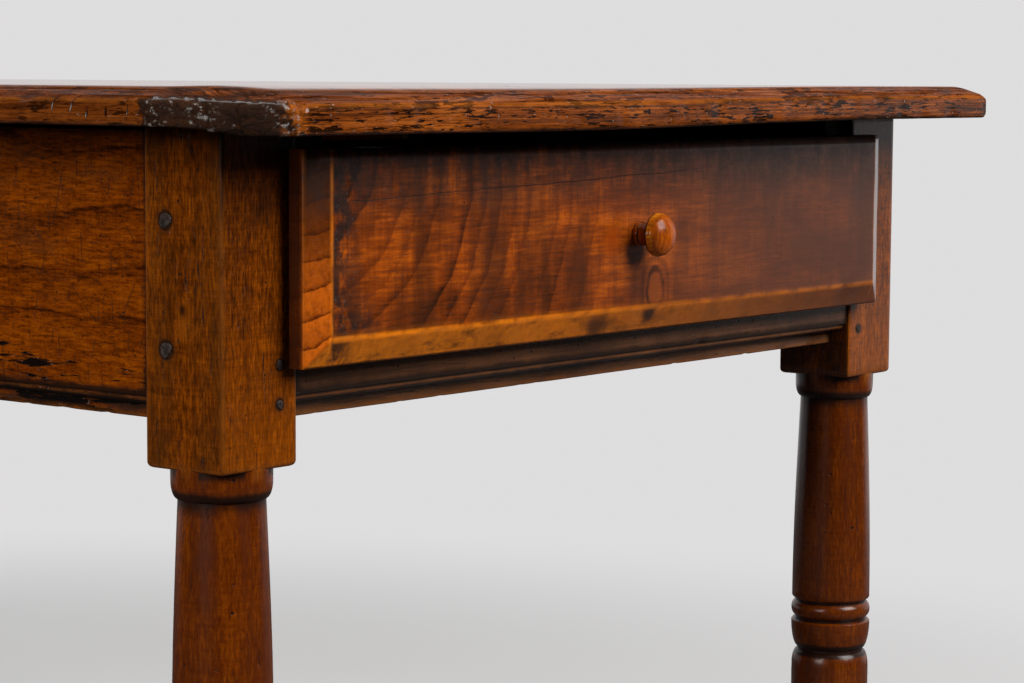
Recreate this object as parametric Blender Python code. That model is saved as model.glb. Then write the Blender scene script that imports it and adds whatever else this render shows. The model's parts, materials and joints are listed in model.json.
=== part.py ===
"""Farmhouse table with one drawer in its end.

Metres, +Z up. The drawer end faces -Y, the table is long in Y, and the feet stand on Z = 0.
Every piece is its own object: planked top, turned legs, pegged aprons and stretchers, and a
dovetailed drawer that slides on runners.
"""
import math

import bmesh
import bpy
from mathutils import Matrix, Vector

# Fits between pieces
SEAT_GAP = 0.0003
RUN_GAP = 0.002
GLUE_ROOM = 0.001

# Tabletop
TOP_LENGTH = 1.800
TOP_WIDTH = 0.918
TABLE_HEIGHT = 0.760
TOP_THICKNESS = 0.0245
TOP_OVERHANG = 0.074
TOP_PLANKS = 3
TOP_CORNER_CLIP = 0.056
TOP_BEVEL_WIDTH = 0.021
TOP_BEVEL_DROP = 0.0075

# Battens under the top
BATTEN_COUNT = 3
BATTEN_WIDTH = 0.060
BATTEN_HEIGHT = 0.022
BATTEN_END_MARGIN = 0.120

# Leg blocks
LEG_SIZE = 0.064
BLOCK_EDGE = 0.0012
UPPER_BLOCK_HEIGHT = 0.2064
LOWER_BLOCK_BOTTOM = 0.112
LOWER_BLOCK_HEIGHT = 0.118
BLOCK_OVERLAP = 0.006

# Leg turning, from the upper block down; the shaft takes the height that the rest leaves
TURNING_STEPS = 20
COLLAR_DIAMETER = 0.0625
COLLAR_HEIGHT = 0.019
COLLAR_STRAIGHT = 0.008
SHAFT_TOP_DIAMETER = 0.0540
SHAFT_FOOT_DIAMETER = 0.0628
SHAFT_STEPS = 5
GROOVE_WIDTH = 0.003
GROOVE_DEPTH = 0.003
RING_DIAMETER = 0.0636
RING_HEIGHT = 0.012
CUP_DIAMETER = 0.0636
CUP_HEIGHT = 0.023
NECK_DIAMETER = 0.0528
NECK_HEIGHT = 0.002
DRUM_DIAMETER = 0.0622
DRUM_SHOULDER = 0.013
DRUM_HEIGHT = 0.048
BASE_RING_DIAMETER = 0.0625
BASE_RING_HEIGHT = 0.008
FOOT_COLLAR_HEIGHT = 0.014
FOOT_COLLAR_STRAIGHT = 0.004
FOOT_ANKLE_DIAMETER = 0.042
FOOT_BULB_DIAMETER = 0.060
FOOT_BULB_HEIGHT = 0.042
FOOT_BASE_DIAMETER = 0.040

# Aprons and drawer rail, with the moulding along their lower edge
APRON_LIFT = 0.0273
APRON_TOP_GAP = 0.0025
APRON_THICKNESS = 0.026
APRON_SETBACK = 0.0015
RAIL_HEIGHT = 0.0447
RAIL_THICKNESS = 0.032
FASCIA_RECESS = 0.0155
FASCIA_HEIGHT = 0.0076
COVE_TOP = 0.0106
BEAD_TOP = 0.0161
BEAD_INNER = 0.0065
BEAD_OUTER = 0.0025
ARC_STEPS = 4

# Tenons; inside a leg two tenons pass each other with a wall between them
TENON_THICKNESS = 0.010
TENON_WALL = 0.0045
TENON_COVER = 0.002
APRON_TENON_OFFSET = 0.008
APRON_TENON_BOTTOM = 0.022
APRON_TENON_TOP_DROP = 0.020
RAIL_TENON_EDGE = 0.003

# Pegs; each is placed from the shoulder that it draws up, and from the edges of its rail
PEG_SIDES = 12
PEG_PROUD = 0.0008
PEG_EDGE = 0.0006
PEG_BITE = 0.004
APRON_PEG_DIAMETER = 0.013
APRON_PEG_SHOULDER = 0.0173
APRON_PEG_RISE = 0.0453
APRON_PEG_DROP = 0.0537
REAR_PEG_SHIFT = 0.019
RAIL_PEG_DIAMETER = 0.0076
RAIL_PEG_SHOULDER = 0.0145
RAIL_PEG_RISE = 0.0116
RAIL_PEG_DROP = 0.0090

# Stretchers
STRETCHER_HEIGHT = 0.048
STRETCHER_THICKNESS = 0.028
STRETCHER_EDGE = 0.003
STRETCHER_TENON_THICKNESS = 0.012
STRETCHER_TENON_HEIGHT = 0.032
STRETCHER_TENON_LENGTH = 0.034
STRETCHER_PEG_DIAMETER = 0.009
STRETCHER_PEG_SHOULDER = 0.015
MEDIAL_WIDTH = 0.042
MEDIAL_HEIGHT = 0.040
MEDIAL_TENON_THICKNESS = 0.014
MEDIAL_TENON_HEIGHT = 0.026
MEDIAL_TENON_LENGTH = 0.019
MEDIAL_PEG_DIAMETER = 0.007
MEDIAL_PEG_SHOULDER = 0.009

# Drawer; at rest it stands a little open
DRAWER_REST_GAP = 0.005
DRAWER_TOP_GAP = 0.0136
DRAWER_DEPTH = 0.460
LIP_OVERLAP = 0.013
LIP_EDGE = 0.0118
FRONT_BEVEL_WIDTH = 0.0185
FRONT_BEVEL_DEPTH = 0.008
TONGUE_DEPTH = 0.010
SIDE_THICKNESS = 0.012
SIDE_TOP_DROP = 0.0053
BACK_THICKNESS = 0.012
BACK_INSET = 0.008
BACK_TOP_DROP = 0.006
BACK_HOUSING = 0.004
BOTTOM_THICKNESS = 0.008
BOTTOM_LIFT = 0.010
BOTTOM_GROOVE = 0.005
GROOVE_MARGIN = 0.002
TAIL_COUNT = 3
TAIL_FLARE = 0.0025
PIN_WIDTH = 0.013

# Knob
KNOB_STEPS = 20
KNOB_RAISE = 0.003
KNOB_DIAMETER = 0.0305
KNOB_RIM = 0.0185
KNOB_RIM_THICKNESS = 0.003
KNOB_DOME = 0.005
KNOB_BASE_DIAMETER = 0.018
KNOB_BASE_HEIGHT = 0.005
KNOB_NECK_DIAMETER = 0.0125
KNOB_SPIGOT_DIAMETER = 0.010
KNOB_SPIGOT_LENGTH = 0.014

# Drawer bearers
RUNNER_HEIGHT = 0.024
RUNNER_UNDER_SIDE = 0.026
GUIDE_WIDTH = 0.018
GUIDE_HEIGHT = 0.038
KICKER_WIDTH = 0.028
KICKER_SETBACK = 0.006

# Levels and outer faces that follow from the sizes above
UNDERSIDE = TABLE_HEIGHT - TOP_THICKNESS
BLOCK_BOTTOM = UNDERSIDE - SEAT_GAP - UPPER_BLOCK_HEIGHT
LOWER_BLOCK_TOP = LOWER_BLOCK_BOTTOM + LOWER_BLOCK_HEIGHT
OUTER_X = TOP_WIDTH / 2 - TOP_OVERHANG
OUTER_Y = TOP_LENGTH / 2 - TOP_OVERHANG
LEG_X = OUTER_X - LEG_SIZE / 2
LEG_Y = OUTER_Y - LEG_SIZE / 2
INNER_X = OUTER_X - LEG_SIZE
INNER_Y = OUTER_Y - LEG_SIZE
APRON_BOTTOM = BLOCK_BOTTOM + APRON_LIFT
APRON_HEIGHT = UNDERSIDE - APRON_TOP_GAP - APRON_BOTTOM
APRON_INSIDE_X = OUTER_X - APRON_SETBACK - APRON_THICKNESS
APRON_INSIDE_Y = OUTER_Y - APRON_SETBACK - APRON_THICKNESS
RAIL_TOP = APRON_BOTTOM + RAIL_HEIGHT
APRON_CHEEK = APRON_SETBACK + APRON_TENON_OFFSET
TENON_LENGTH = LEG_SIZE - APRON_CHEEK - TENON_THICKNESS - TENON_WALL
RAIL_TENON_OFFSET = FASCIA_RECESS + TENON_COVER
RAIL_TENON_THICKNESS = RAIL_THICKNESS - RAIL_TENON_OFFSET - TENON_COVER
APRON_PEG_LOW = APRON_PEG_RISE
APRON_PEG_HIGH = APRON_HEIGHT - APRON_PEG_DROP
APRON_PEG_LENGTH = PEG_PROUD + APRON_CHEEK + TENON_THICKNESS + PEG_BITE
RAIL_PEG_LOW = RAIL_PEG_RISE
RAIL_PEG_HIGH = RAIL_HEIGHT - RAIL_PEG_DROP
RAIL_PEG_LENGTH = PEG_PROUD + APRON_SETBACK + RAIL_TENON_OFFSET + RAIL_TENON_THICKNESS + PEG_BITE
STRETCHER_PEG_LENGTH = PEG_PROUD + (LEG_SIZE + STRETCHER_TENON_THICKNESS) / 2 + PEG_BITE
MEDIAL_PEG_LENGTH = PEG_PROUD + (STRETCHER_HEIGHT + MEDIAL_TENON_HEIGHT) / 2 + PEG_BITE
STRETCHER_BOTTOM = LOWER_BLOCK_BOTTOM + (LOWER_BLOCK_HEIGHT - STRETCHER_HEIGHT) / 2
MEDIAL_BOTTOM = STRETCHER_BOTTOM + (STRETCHER_HEIGHT - MEDIAL_HEIGHT) / 2
DRAWER_BASE = RAIL_TOP + SEAT_GAP
DRAWER_BACK_PLANE = -OUTER_Y - DRAWER_REST_GAP
FRONT_TOP = UNDERSIDE - DRAWER_TOP_GAP - DRAWER_BASE
SIDE_HEIGHT = FRONT_TOP - SIDE_TOP_DROP
BOX_HALF = INNER_X - RUN_GAP
BOX_INSIDE = BOX_HALF - SIDE_THICKNESS
BEARER_END = -OUTER_Y + DRAWER_DEPTH

# Finishes: linear base colour and roughness of each kind of piece
TOP_WOOD = ((0.130, 0.048, 0.016), 0.32)
LEG_WOOD = ((0.105, 0.036, 0.012), 0.34)
APRON_WOOD = ((0.150, 0.052, 0.014), 0.38)
RAIL_WOOD = ((0.070, 0.024, 0.011), 0.40)
FRONT_WOOD = ((0.098, 0.030, 0.014), 0.34)
INNER_WOOD = ((0.210, 0.115, 0.055), 0.60)
PEG_WOOD = ((0.045, 0.026, 0.018), 0.50)
KNOB_WOOD = ((0.190, 0.070, 0.018), 0.26)

CORNERS = {
    "front_left": (-1, -1),
    "front_right": (1, -1),
    "rear_left": (-1, 1),
    "rear_right": (1, 1),
}


def clear_scene():
    """Take every object out of the scene."""
    for existing in list(bpy.data.objects):
        bpy.data.objects.remove(existing, do_unlink=True)


def wood(name, finish):
    """Return a wood material with the given colour and roughness."""
    colour, roughness = finish
    material = bpy.data.materials.new(name)
    material.use_nodes = True
    shader = material.node_tree.nodes["Principled BSDF"]
    shader.inputs["Base Color"].default_value = (*colour, 1.0)
    shader.inputs["Roughness"].default_value = roughness
    shader.inputs["Metallic"].default_value = 0.0
    return material


def group(name, location=(0.0, 0.0, 0.0)):
    """Return an empty that carries the pieces of one sub-assembly."""
    empty = bpy.data.objects.new(name, None)
    empty.location = location
    bpy.context.scene.collection.objects.link(empty)
    return empty


def piece(name, shape, finish, parent, location=(0.0, 0.0, 0.0), turn=0.0, round_shape=False):
    """Turn a bmesh into a named object, placed under its parent and turned about Z."""
    mesh = bpy.data.meshes.new(name)
    shape.to_mesh(mesh)
    shape.free()
    if round_shape:
        mesh.shade_smooth()
        mesh.set_sharp_from_angle(angle=math.radians(35))
    mesh.materials.append(wood(name + "_wood", finish))
    made = bpy.data.objects.new(name, mesh)
    made.location = location
    made.rotation_euler = (0.0, 0.0, turn)
    made.parent = parent
    bpy.context.scene.collection.objects.link(made)
    return made


def combine(target, shape, operation, label):
    """Join a shape to a piece or cut it away, with a hidden operand in the piece's own frame."""
    mesh = bpy.data.meshes.new(f"{target.name}_{label}")
    shape.to_mesh(mesh)
    shape.free()
    operand = bpy.data.objects.new(mesh.name, mesh)
    operand.parent = target
    operand.hide_render = True
    operand.display_type = "WIRE"
    bpy.context.scene.collection.objects.link(operand)
    modifier = target.modifiers.new(label, "BOOLEAN")
    modifier.operation = operation
    modifier.solver = "EXACT"
    modifier.object = operand


def add_box(shape, low, high):
    """Add a box between two corners to a bmesh."""
    low, high = Vector(low), Vector(high)
    place = Matrix.Translation((low + high) / 2) @ Matrix.Diagonal((*(high - low), 1.0))
    bmesh.ops.create_cube(shape, size=1.0, matrix=place)


def box(low, high):
    """Return a bmesh that is one box between two corners."""
    shape = bmesh.new()
    add_box(shape, low, high)
    return shape


def soften(shape, width):
    """Bevel every edge of a shape by the same width."""
    bmesh.ops.bevel(shape, geom=shape.edges[:], offset=width, segments=1, affect="EDGES")


def prism(outline, start, end, axis):
    """Extrude a closed outline from start to end along X (axis 0) or Z (axis 2).

    The outline's pairs are (y, z) for X and (x, y) for Z.
    """
    shape = bmesh.new()
    corners = [(start, *pair) if axis == 0 else (*pair, start) for pair in outline]
    face = shape.faces.new([shape.verts.new(corner) for corner in corners])
    grown = bmesh.ops.extrude_face_region(shape, geom=[face])
    moved = [item for item in grown["geom"] if isinstance(item, bmesh.types.BMVert)]
    way = Vector((0.0, 0.0, 0.0))
    way[axis] = end - start
    bmesh.ops.translate(shape, verts=moved, vec=way)
    bmesh.ops.recalc_face_normals(shape, faces=shape.faces[:])
    return shape


def turned(profile, steps):
    """Spin a profile of (radius, height) pairs round Z; its ends lie on the axis."""
    shape = bmesh.new()
    line = [shape.verts.new((radius, 0.0, height)) for radius, height in profile]
    edges = [shape.edges.new(pair) for pair in zip(line, line[1:])]
    bmesh.ops.spin(shape, geom=line + edges, cent=(0, 0, 0), axis=(0, 0, 1), angle=math.tau, steps=steps)
    bmesh.ops.remove_doubles(shape, verts=shape.verts[:], dist=1e-6)
    bmesh.ops.recalc_face_normals(shape, faces=shape.faces[:])
    return shape


def plane_off(shape, point, normal):
    """Take away what lies beyond a plane, as a hand plane would, and close the cut."""
    everything = shape.verts[:] + shape.edges[:] + shape.faces[:]
    cut = bmesh.ops.bisect_plane(shape, geom=everything, plane_co=point, plane_no=normal, clear_outer=True)
    rim = [item for item in cut["geom_cut"] if isinstance(item, bmesh.types.BMEdge)]
    bmesh.ops.holes_fill(shape, edges=rim, sides=0)


def quarter(centre, reach, start, end, steps):
    """Return points along an elliptical arc, start and end in degrees."""
    angles = [math.radians(start + (end - start) * step / steps) for step in range(steps + 1)]
    return [(centre[0] + reach[0] * math.cos(a), centre[1] + reach[1] * math.sin(a)) for a in angles]


def aim(direction):
    """Return the rotation that carries +Z onto a direction."""
    return Vector(direction).to_track_quat("Z", "Y")


def add_bore(shape, mouth, direction, diameter, length):
    """Add a peg's bore to a cutter: it starts outside its mouth and goes in against a direction."""
    reach = length + GLUE_ROOM + PEG_PROUD
    middle = Vector(mouth) + Vector(direction) * (2 * PEG_PROUD + PEG_EDGE - reach / 2)
    place = Matrix.Translation(middle) @ aim(direction).to_matrix().to_4x4()
    radius = diameter / 2 + SEAT_GAP
    bmesh.ops.create_cone(shape, cap_ends=True, segments=PEG_SIDES, radius1=radius, radius2=radius,
                          depth=reach + 2 * (PEG_PROUD + PEG_EDGE), matrix=place)


def peg(name, parent, mouth, direction, diameter, length):
    """Make a peg whose softened head stands a little proud of the face at its mouth."""
    shape = bmesh.new()
    bmesh.ops.create_cone(shape, cap_ends=True, segments=PEG_SIDES, radius1=diameter / 2, radius2=diameter / 2,
                          depth=length, matrix=Matrix.Translation((0, 0, PEG_PROUD - length / 2)))
    head = [edge for edge in shape.edges if all(vert.co.z > 0 for vert in edge.verts)]
    bmesh.ops.bevel(shape, geom=head, offset=PEG_EDGE, segments=1, affect="EDGES")
    made = piece(name, shape, PEG_WOOD, parent, mouth)
    made.rotation_mode = "QUATERNION"
    made.rotation_quaternion = aim(direction)


def top_outline():
    """Return the tabletop's eight corners, anticlockwise from the left end of the drawer edge."""
    half_x, half_y, clip = TOP_WIDTH / 2, TOP_LENGTH / 2, TOP_CORNER_CLIP
    return [(-half_x + clip, -half_y), (half_x - clip, -half_y), (half_x, -half_y + clip), (half_x, half_y - clip),
            (half_x - clip, half_y), (-half_x + clip, half_y), (-half_x, half_y - clip), (-half_x, -half_y + clip)]


def whole_top():
    """Return the tabletop before it is parted into planks: clipped outline, bevelled upper edge."""
    outline = top_outline()
    shape = prism(outline, UNDERSIDE, TABLE_HEIGHT, axis=2)
    for start, end in zip(outline, outline[1:] + outline[:1]):
        along = Vector((end[0] - start[0], end[1] - start[1], 0.0)).normalized()
        outward = Vector((along.y, -along.x, 0.0))
        slope = outward * TOP_BEVEL_DROP + Vector((0, 0, TOP_BEVEL_WIDTH))
        plane_off(shape, Vector((*start, TABLE_HEIGHT - TOP_BEVEL_DROP)), slope.normalized())
    return shape


def build_top(frame):
    """Make the planks and the battens that tie them together from below."""
    plank_width = TOP_WIDTH / TOP_PLANKS
    for number in range(TOP_PLANKS):
        left = -TOP_WIDTH / 2 + number * plank_width
        right = left + plank_width
        shape = whole_top()
        if number > 0:
            plane_off(shape, Vector((left + SEAT_GAP / 2, 0, 0)), Vector((-1, 0, 0)))
        if number < TOP_PLANKS - 1:
            plane_off(shape, Vector((right - SEAT_GAP / 2, 0, 0)), Vector((1, 0, 0)))
        piece(f"top_plank_{number + 1}", shape, TOP_WOOD, frame)

    half_length = APRON_INSIDE_X - SEAT_GAP
    first = BEARER_END + BATTEN_END_MARGIN
    last = APRON_INSIDE_Y - BATTEN_END_MARGIN
    for number in range(BATTEN_COUNT):
        centre = first + (last - first) * number / max(1, BATTEN_COUNT - 1)
        shape = box((-half_length, -BATTEN_WIDTH / 2, -BATTEN_HEIGHT), (half_length, BATTEN_WIDTH / 2, 0))
        place = (0, centre, UNDERSIDE - SEAT_GAP)
        piece(f"top_batten_{number + 1}", shape, INNER_WOOD, frame, place)


def column_profile():
    """Return the turned profile between a leg's two blocks, from the top down."""
    level = BLOCK_BOTTOM
    points = [(0.0, level + BLOCK_OVERLAP), (COLLAR_DIAMETER / 2, level + BLOCK_OVERLAP)]

    # Collar with a rounded underside
    shaft_top = SHAFT_TOP_DIAMETER / 2
    centre = (shaft_top, level - COLLAR_STRAIGHT)
    reach = (COLLAR_DIAMETER / 2 - shaft_top, COLLAR_HEIGHT - COLLAR_STRAIGHT)
    points += quarter(centre, reach, 0, -90, ARC_STEPS)
    level -= COLLAR_HEIGHT

    # Barrel-shaped shaft, swelling towards its foot
    below = (3 * GROOVE_WIDTH + RING_HEIGHT + CUP_HEIGHT + NECK_HEIGHT + DRUM_SHOULDER + DRUM_HEIGHT
             + BASE_RING_HEIGHT)
    shaft_length = level - LOWER_BLOCK_TOP - below
    swell = (SHAFT_FOOT_DIAMETER - SHAFT_TOP_DIAMETER) / 2
    for step in range(1, SHAFT_STEPS + 1):
        part = step / SHAFT_STEPS
        points.append((shaft_top + swell * math.sin(part * math.pi / 2), level - shaft_length * part))
    level -= shaft_length

    # Ring between two grooves
    floor = SHAFT_FOOT_DIAMETER / 2 - GROOVE_DEPTH
    points.append((floor, level - GROOVE_WIDTH / 2))
    level -= GROOVE_WIDTH
    reach = (RING_DIAMETER / 2 - floor, RING_HEIGHT / 2)
    points += quarter((floor, level - RING_HEIGHT / 2), reach, 60, -60, ARC_STEPS)
    level -= RING_HEIGHT
    points.append((floor, level - GROOVE_WIDTH / 2))
    level -= GROOVE_WIDTH

    # Cup, neck and round-shouldered drum
    neck = NECK_DIAMETER / 2
    points += quarter((neck, level), (CUP_DIAMETER / 2 - neck, CUP_HEIGHT), 0, -90, ARC_STEPS + 1)
    level -= CUP_HEIGHT + NECK_HEIGHT
    points += quarter((neck, level - DRUM_SHOULDER), (DRUM_DIAMETER / 2 - neck, DRUM_SHOULDER), 90, 0, ARC_STEPS)
    level -= DRUM_SHOULDER + DRUM_HEIGHT
    points.append((DRUM_DIAMETER / 2, level))

    # Groove and ring that stand on the lower block
    points.append((floor, level - GROOVE_WIDTH / 2))
    points.append((BASE_RING_DIAMETER / 2, level - GROOVE_WIDTH))
    points += [(BASE_RING_DIAMETER / 2, LOWER_BLOCK_TOP - BLOCK_OVERLAP), (0.0, LOWER_BLOCK_TOP - BLOCK_OVERLAP)]
    return points


def foot_profile():
    """Return the turned profile of a foot, from inside the lower block down to the floor."""
    ankle, bulb, base = FOOT_ANKLE_DIAMETER / 2, FOOT_BULB_DIAMETER / 2, FOOT_BASE_DIAMETER / 2
    collar = COLLAR_DIAMETER / 2
    points = [(0.0, LOWER_BLOCK_BOTTOM + BLOCK_OVERLAP), (collar, LOWER_BLOCK_BOTTOM + BLOCK_OVERLAP)]
    reach = (collar - ankle, FOOT_COLLAR_HEIGHT - FOOT_COLLAR_STRAIGHT)
    points += quarter((ankle, LOWER_BLOCK_BOTTOM - FOOT_COLLAR_STRAIGHT), reach, 0, -90, ARC_STEPS)
    top = LOWER_BLOCK_BOTTOM - FOOT_COLLAR_HEIGHT
    for step in range(1, ARC_STEPS + 1):
        part = step / ARC_STEPS
        swell = (1 - math.cos(part * math.pi)) / 2
        points.append((ankle + (bulb - ankle) * swell, top + (FOOT_BULB_HEIGHT - top) * part))
    points += quarter((base, FOOT_BULB_HEIGHT), (bulb - base, FOOT_BULB_HEIGHT), 0, -90, ARC_STEPS)[1:]
    points.append((0.0, 0.0))
    return points


def mortise(shape, corner, along_x, offset, thickness, length, bottom, top):
    """Add one mortise to a leg's cutter, in the leg's frame.

    The rail leaves the leg along X or Y, and offset is the distance from the leg's outer face
    to the near cheek of the tenon.
    """
    half = LEG_SIZE / 2
    sign_x, sign_y = corner
    cheek = (half - offset - thickness - SEAT_GAP, half - offset + SEAT_GAP)
    depth = (-half - GLUE_ROOM, -half + length + GLUE_ROOM)
    across_x, across_y = (depth, cheek) if along_x else (cheek, depth)
    xs = sorted(sign_x * value for value in across_x)
    ys = sorted(sign_y * value for value in across_y)
    add_box(shape, (xs[0], ys[0], bottom - SEAT_GAP), (xs[1], ys[1], top + SEAT_GAP))


def peg_places(corner):
    """Return each peg of one leg as name, mouth, direction, diameter and length, in the leg's frame."""
    half = LEG_SIZE / 2
    sign_x, sign_y = corner
    side = (sign_x, 0, 0)
    end = (0, sign_y, 0)
    places = []
    inward = sign_y * (APRON_PEG_SHOULDER - half)
    for level, height in (("low", APRON_PEG_LOW), ("high", APRON_PEG_HIGH)):
        mouth = (sign_x * half, inward, APRON_BOTTOM + height)
        places.append((f"peg_side_{level}", mouth, side, APRON_PEG_DIAMETER, APRON_PEG_LENGTH))
    if sign_y < 0:
        rows = (("low", RAIL_PEG_LOW), ("high", RAIL_PEG_HIGH))
        shoulder, diameter, length = RAIL_PEG_SHOULDER, RAIL_PEG_DIAMETER, RAIL_PEG_LENGTH
    else:
        rows = (("low", APRON_PEG_LOW + REAR_PEG_SHIFT), ("high", APRON_PEG_HIGH - REAR_PEG_SHIFT))
        shoulder, diameter, length = APRON_PEG_SHOULDER, APRON_PEG_DIAMETER, APRON_PEG_LENGTH
    for level, height in rows:
        mouth = (sign_x * (shoulder - half), sign_y * half, APRON_BOTTOM + height)
        places.append((f"peg_end_{level}", mouth, end, diameter, length))
    mouth = (sign_x * (STRETCHER_PEG_SHOULDER - half), sign_y * half, STRETCHER_BOTTOM + STRETCHER_HEIGHT / 2)
    places.append(("peg_stretcher", mouth, end, STRETCHER_PEG_DIAMETER, STRETCHER_PEG_LENGTH))
    return places


def build_leg(frame, name, corner):
    """Make one leg with its blocks, turning, mortises and peg bores, and its pegs."""
    half = LEG_SIZE / 2
    upper = box((-half, -half, BLOCK_BOTTOM), (half, half, BLOCK_BOTTOM + UPPER_BLOCK_HEIGHT))
    soften(upper, BLOCK_EDGE)
    place = (corner[0] * LEG_X, corner[1] * LEG_Y, 0.0)
    leg = piece(f"leg_{name}", upper, LEG_WOOD, frame, place, round_shape=True)
    combine(leg, turned(column_profile(), TURNING_STEPS), "UNION", "column")
    lower = box((-half, -half, LOWER_BLOCK_BOTTOM), (half, half, LOWER_BLOCK_TOP))
    soften(lower, BLOCK_EDGE)
    combine(leg, lower, "UNION", "lower_block")
    combine(leg, turned(foot_profile(), TURNING_STEPS), "UNION", "foot")

    mortises = bmesh.new()
    apron_low = APRON_BOTTOM + APRON_TENON_BOTTOM
    apron_high = APRON_BOTTOM + APRON_HEIGHT - APRON_TENON_TOP_DROP
    mortise(mortises, corner, False, APRON_CHEEK, TENON_THICKNESS, TENON_LENGTH, apron_low, apron_high)
    if corner[1] < 0:
        mortise(mortises, corner, True, APRON_SETBACK + RAIL_TENON_OFFSET, RAIL_TENON_THICKNESS, TENON_LENGTH,
                APRON_BOTTOM + RAIL_TENON_EDGE, RAIL_TOP - RAIL_TENON_EDGE)
    else:
        mortise(mortises, corner, True, APRON_CHEEK, TENON_THICKNESS, TENON_LENGTH, apron_low, apron_high)
    tenon_low = STRETCHER_BOTTOM + (STRETCHER_HEIGHT - STRETCHER_TENON_HEIGHT) / 2
    mortise(mortises, corner, True, (LEG_SIZE - STRETCHER_TENON_THICKNESS) / 2, STRETCHER_TENON_THICKNESS,
            STRETCHER_TENON_LENGTH, tenon_low, tenon_low + STRETCHER_TENON_HEIGHT)
    combine(leg, mortises, "DIFFERENCE", "mortises")

    bores = bmesh.new()
    for label, mouth, direction, diameter, length in peg_places(corner):
        add_bore(bores, mouth, direction, diameter, length)
        world = Vector(place) + Vector(mouth)
        peg(f"{label}_{name}", frame, world, direction, diameter, length)
    combine(leg, bores, "DIFFERENCE", "peg_bores")


def moulded_outline(height, thickness):
    """Return the section of an apron or rail: flat face, bead, cove and set-back fascia."""
    outline = [(thickness, height), (thickness, 0.0), (FASCIA_RECESS, 0.0)]
    cove = quarter((BEAD_INNER, FASCIA_HEIGHT), (FASCIA_RECESS - BEAD_INNER, COVE_TOP - FASCIA_HEIGHT), 0, 90, ARC_STEPS)
    bead = quarter((BEAD_INNER, BEAD_TOP), (BEAD_INNER - BEAD_OUTER, BEAD_TOP - COVE_TOP), 270, 180, ARC_STEPS)
    return outline + cove + bead[1:] + [(0.0, BEAD_TOP), (0.0, height)]


def moulded_board(name, frame, span, height, thickness, tenon, pegs, place, turn, finish):
    """Make an apron or rail with a tenon at each end, bored for its pegs.

    In its own frame the board runs along X, faces -Y with its outer face at Y = 0, and stands on
    Z = 0. The tenon is given as offset, thickness, bottom and top, and a peg as its distance from
    the shoulder, height, diameter and length.
    """
    shoulder = span / 2 - SEAT_GAP
    board = piece(name, prism(moulded_outline(height, thickness), -shoulder, shoulder, axis=0), finish, frame,
                  place, turn)
    offset, cheek, low, high = tenon
    tip = span / 2 + TENON_LENGTH
    combine(board, box((-tip, offset, low), (tip, offset + cheek, high)), "UNION", "tenons")
    bores = bmesh.new()
    for distance, level, diameter, length in pegs:
        for sign in (-1, 1):
            mouth = (sign * (span / 2 + distance), -APRON_SETBACK, level)
            add_bore(bores, mouth, (0, -1, 0), diameter, length)
    combine(board, bores, "DIFFERENCE", "peg_bores")


def build_aprons(frame):
    """Make the two long aprons, the rear apron and the drawer rail."""
    tenon = (APRON_TENON_OFFSET, TENON_THICKNESS, APRON_TENON_BOTTOM, APRON_HEIGHT - APRON_TENON_TOP_DROP)
    pegs = [(APRON_PEG_SHOULDER, level, APRON_PEG_DIAMETER, APRON_PEG_LENGTH)
            for level in (APRON_PEG_LOW, APRON_PEG_HIGH)]
    for name, sign in (("apron_left", -1), ("apron_right", 1)):
        place = (sign * (OUTER_X - APRON_SETBACK), 0.0, APRON_BOTTOM)
        moulded_board(name, frame, 2 * INNER_Y, APRON_HEIGHT, APRON_THICKNESS, tenon, pegs, place,
                      sign * math.pi / 2, APRON_WOOD)
    rear_pegs = [(APRON_PEG_SHOULDER, level, APRON_PEG_DIAMETER, APRON_PEG_LENGTH)
                 for level in (APRON_PEG_LOW + REAR_PEG_SHIFT, APRON_PEG_HIGH - REAR_PEG_SHIFT)]
    moulded_board("apron_rear", frame, 2 * INNER_X, APRON_HEIGHT, APRON_THICKNESS, tenon, rear_pegs,
                  (0.0, OUTER_Y - APRON_SETBACK, APRON_BOTTOM), math.pi, APRON_WOOD)
    rail_tenon = (RAIL_TENON_OFFSET, RAIL_TENON_THICKNESS, RAIL_TENON_EDGE, RAIL_HEIGHT - RAIL_TENON_EDGE)
    rail_pegs = [(RAIL_PEG_SHOULDER, level, RAIL_PEG_DIAMETER, RAIL_PEG_LENGTH)
                 for level in (RAIL_PEG_LOW, RAIL_PEG_HIGH)]
    moulded_board("drawer_rail", frame, 2 * INNER_X, RAIL_HEIGHT, RAIL_THICKNESS, rail_tenon, rail_pegs,
                  (0.0, -OUTER_Y + APRON_SETBACK, APRON_BOTTOM), 0.0, RAIL_WOOD)


def bar(half_length, half_width, height):
    """Return a bar along X on Z = 0 with softened long edges."""
    shape = box((-half_length, -half_width, 0.0), (half_length, half_width, height))
    long_edges = [edge for edge in shape.edges if abs(edge.verts[0].co.x - edge.verts[1].co.x) > half_length]
    bmesh.ops.bevel(shape, geom=long_edges, offset=STRETCHER_EDGE, segments=2, affect="EDGES")
    return shape


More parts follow.
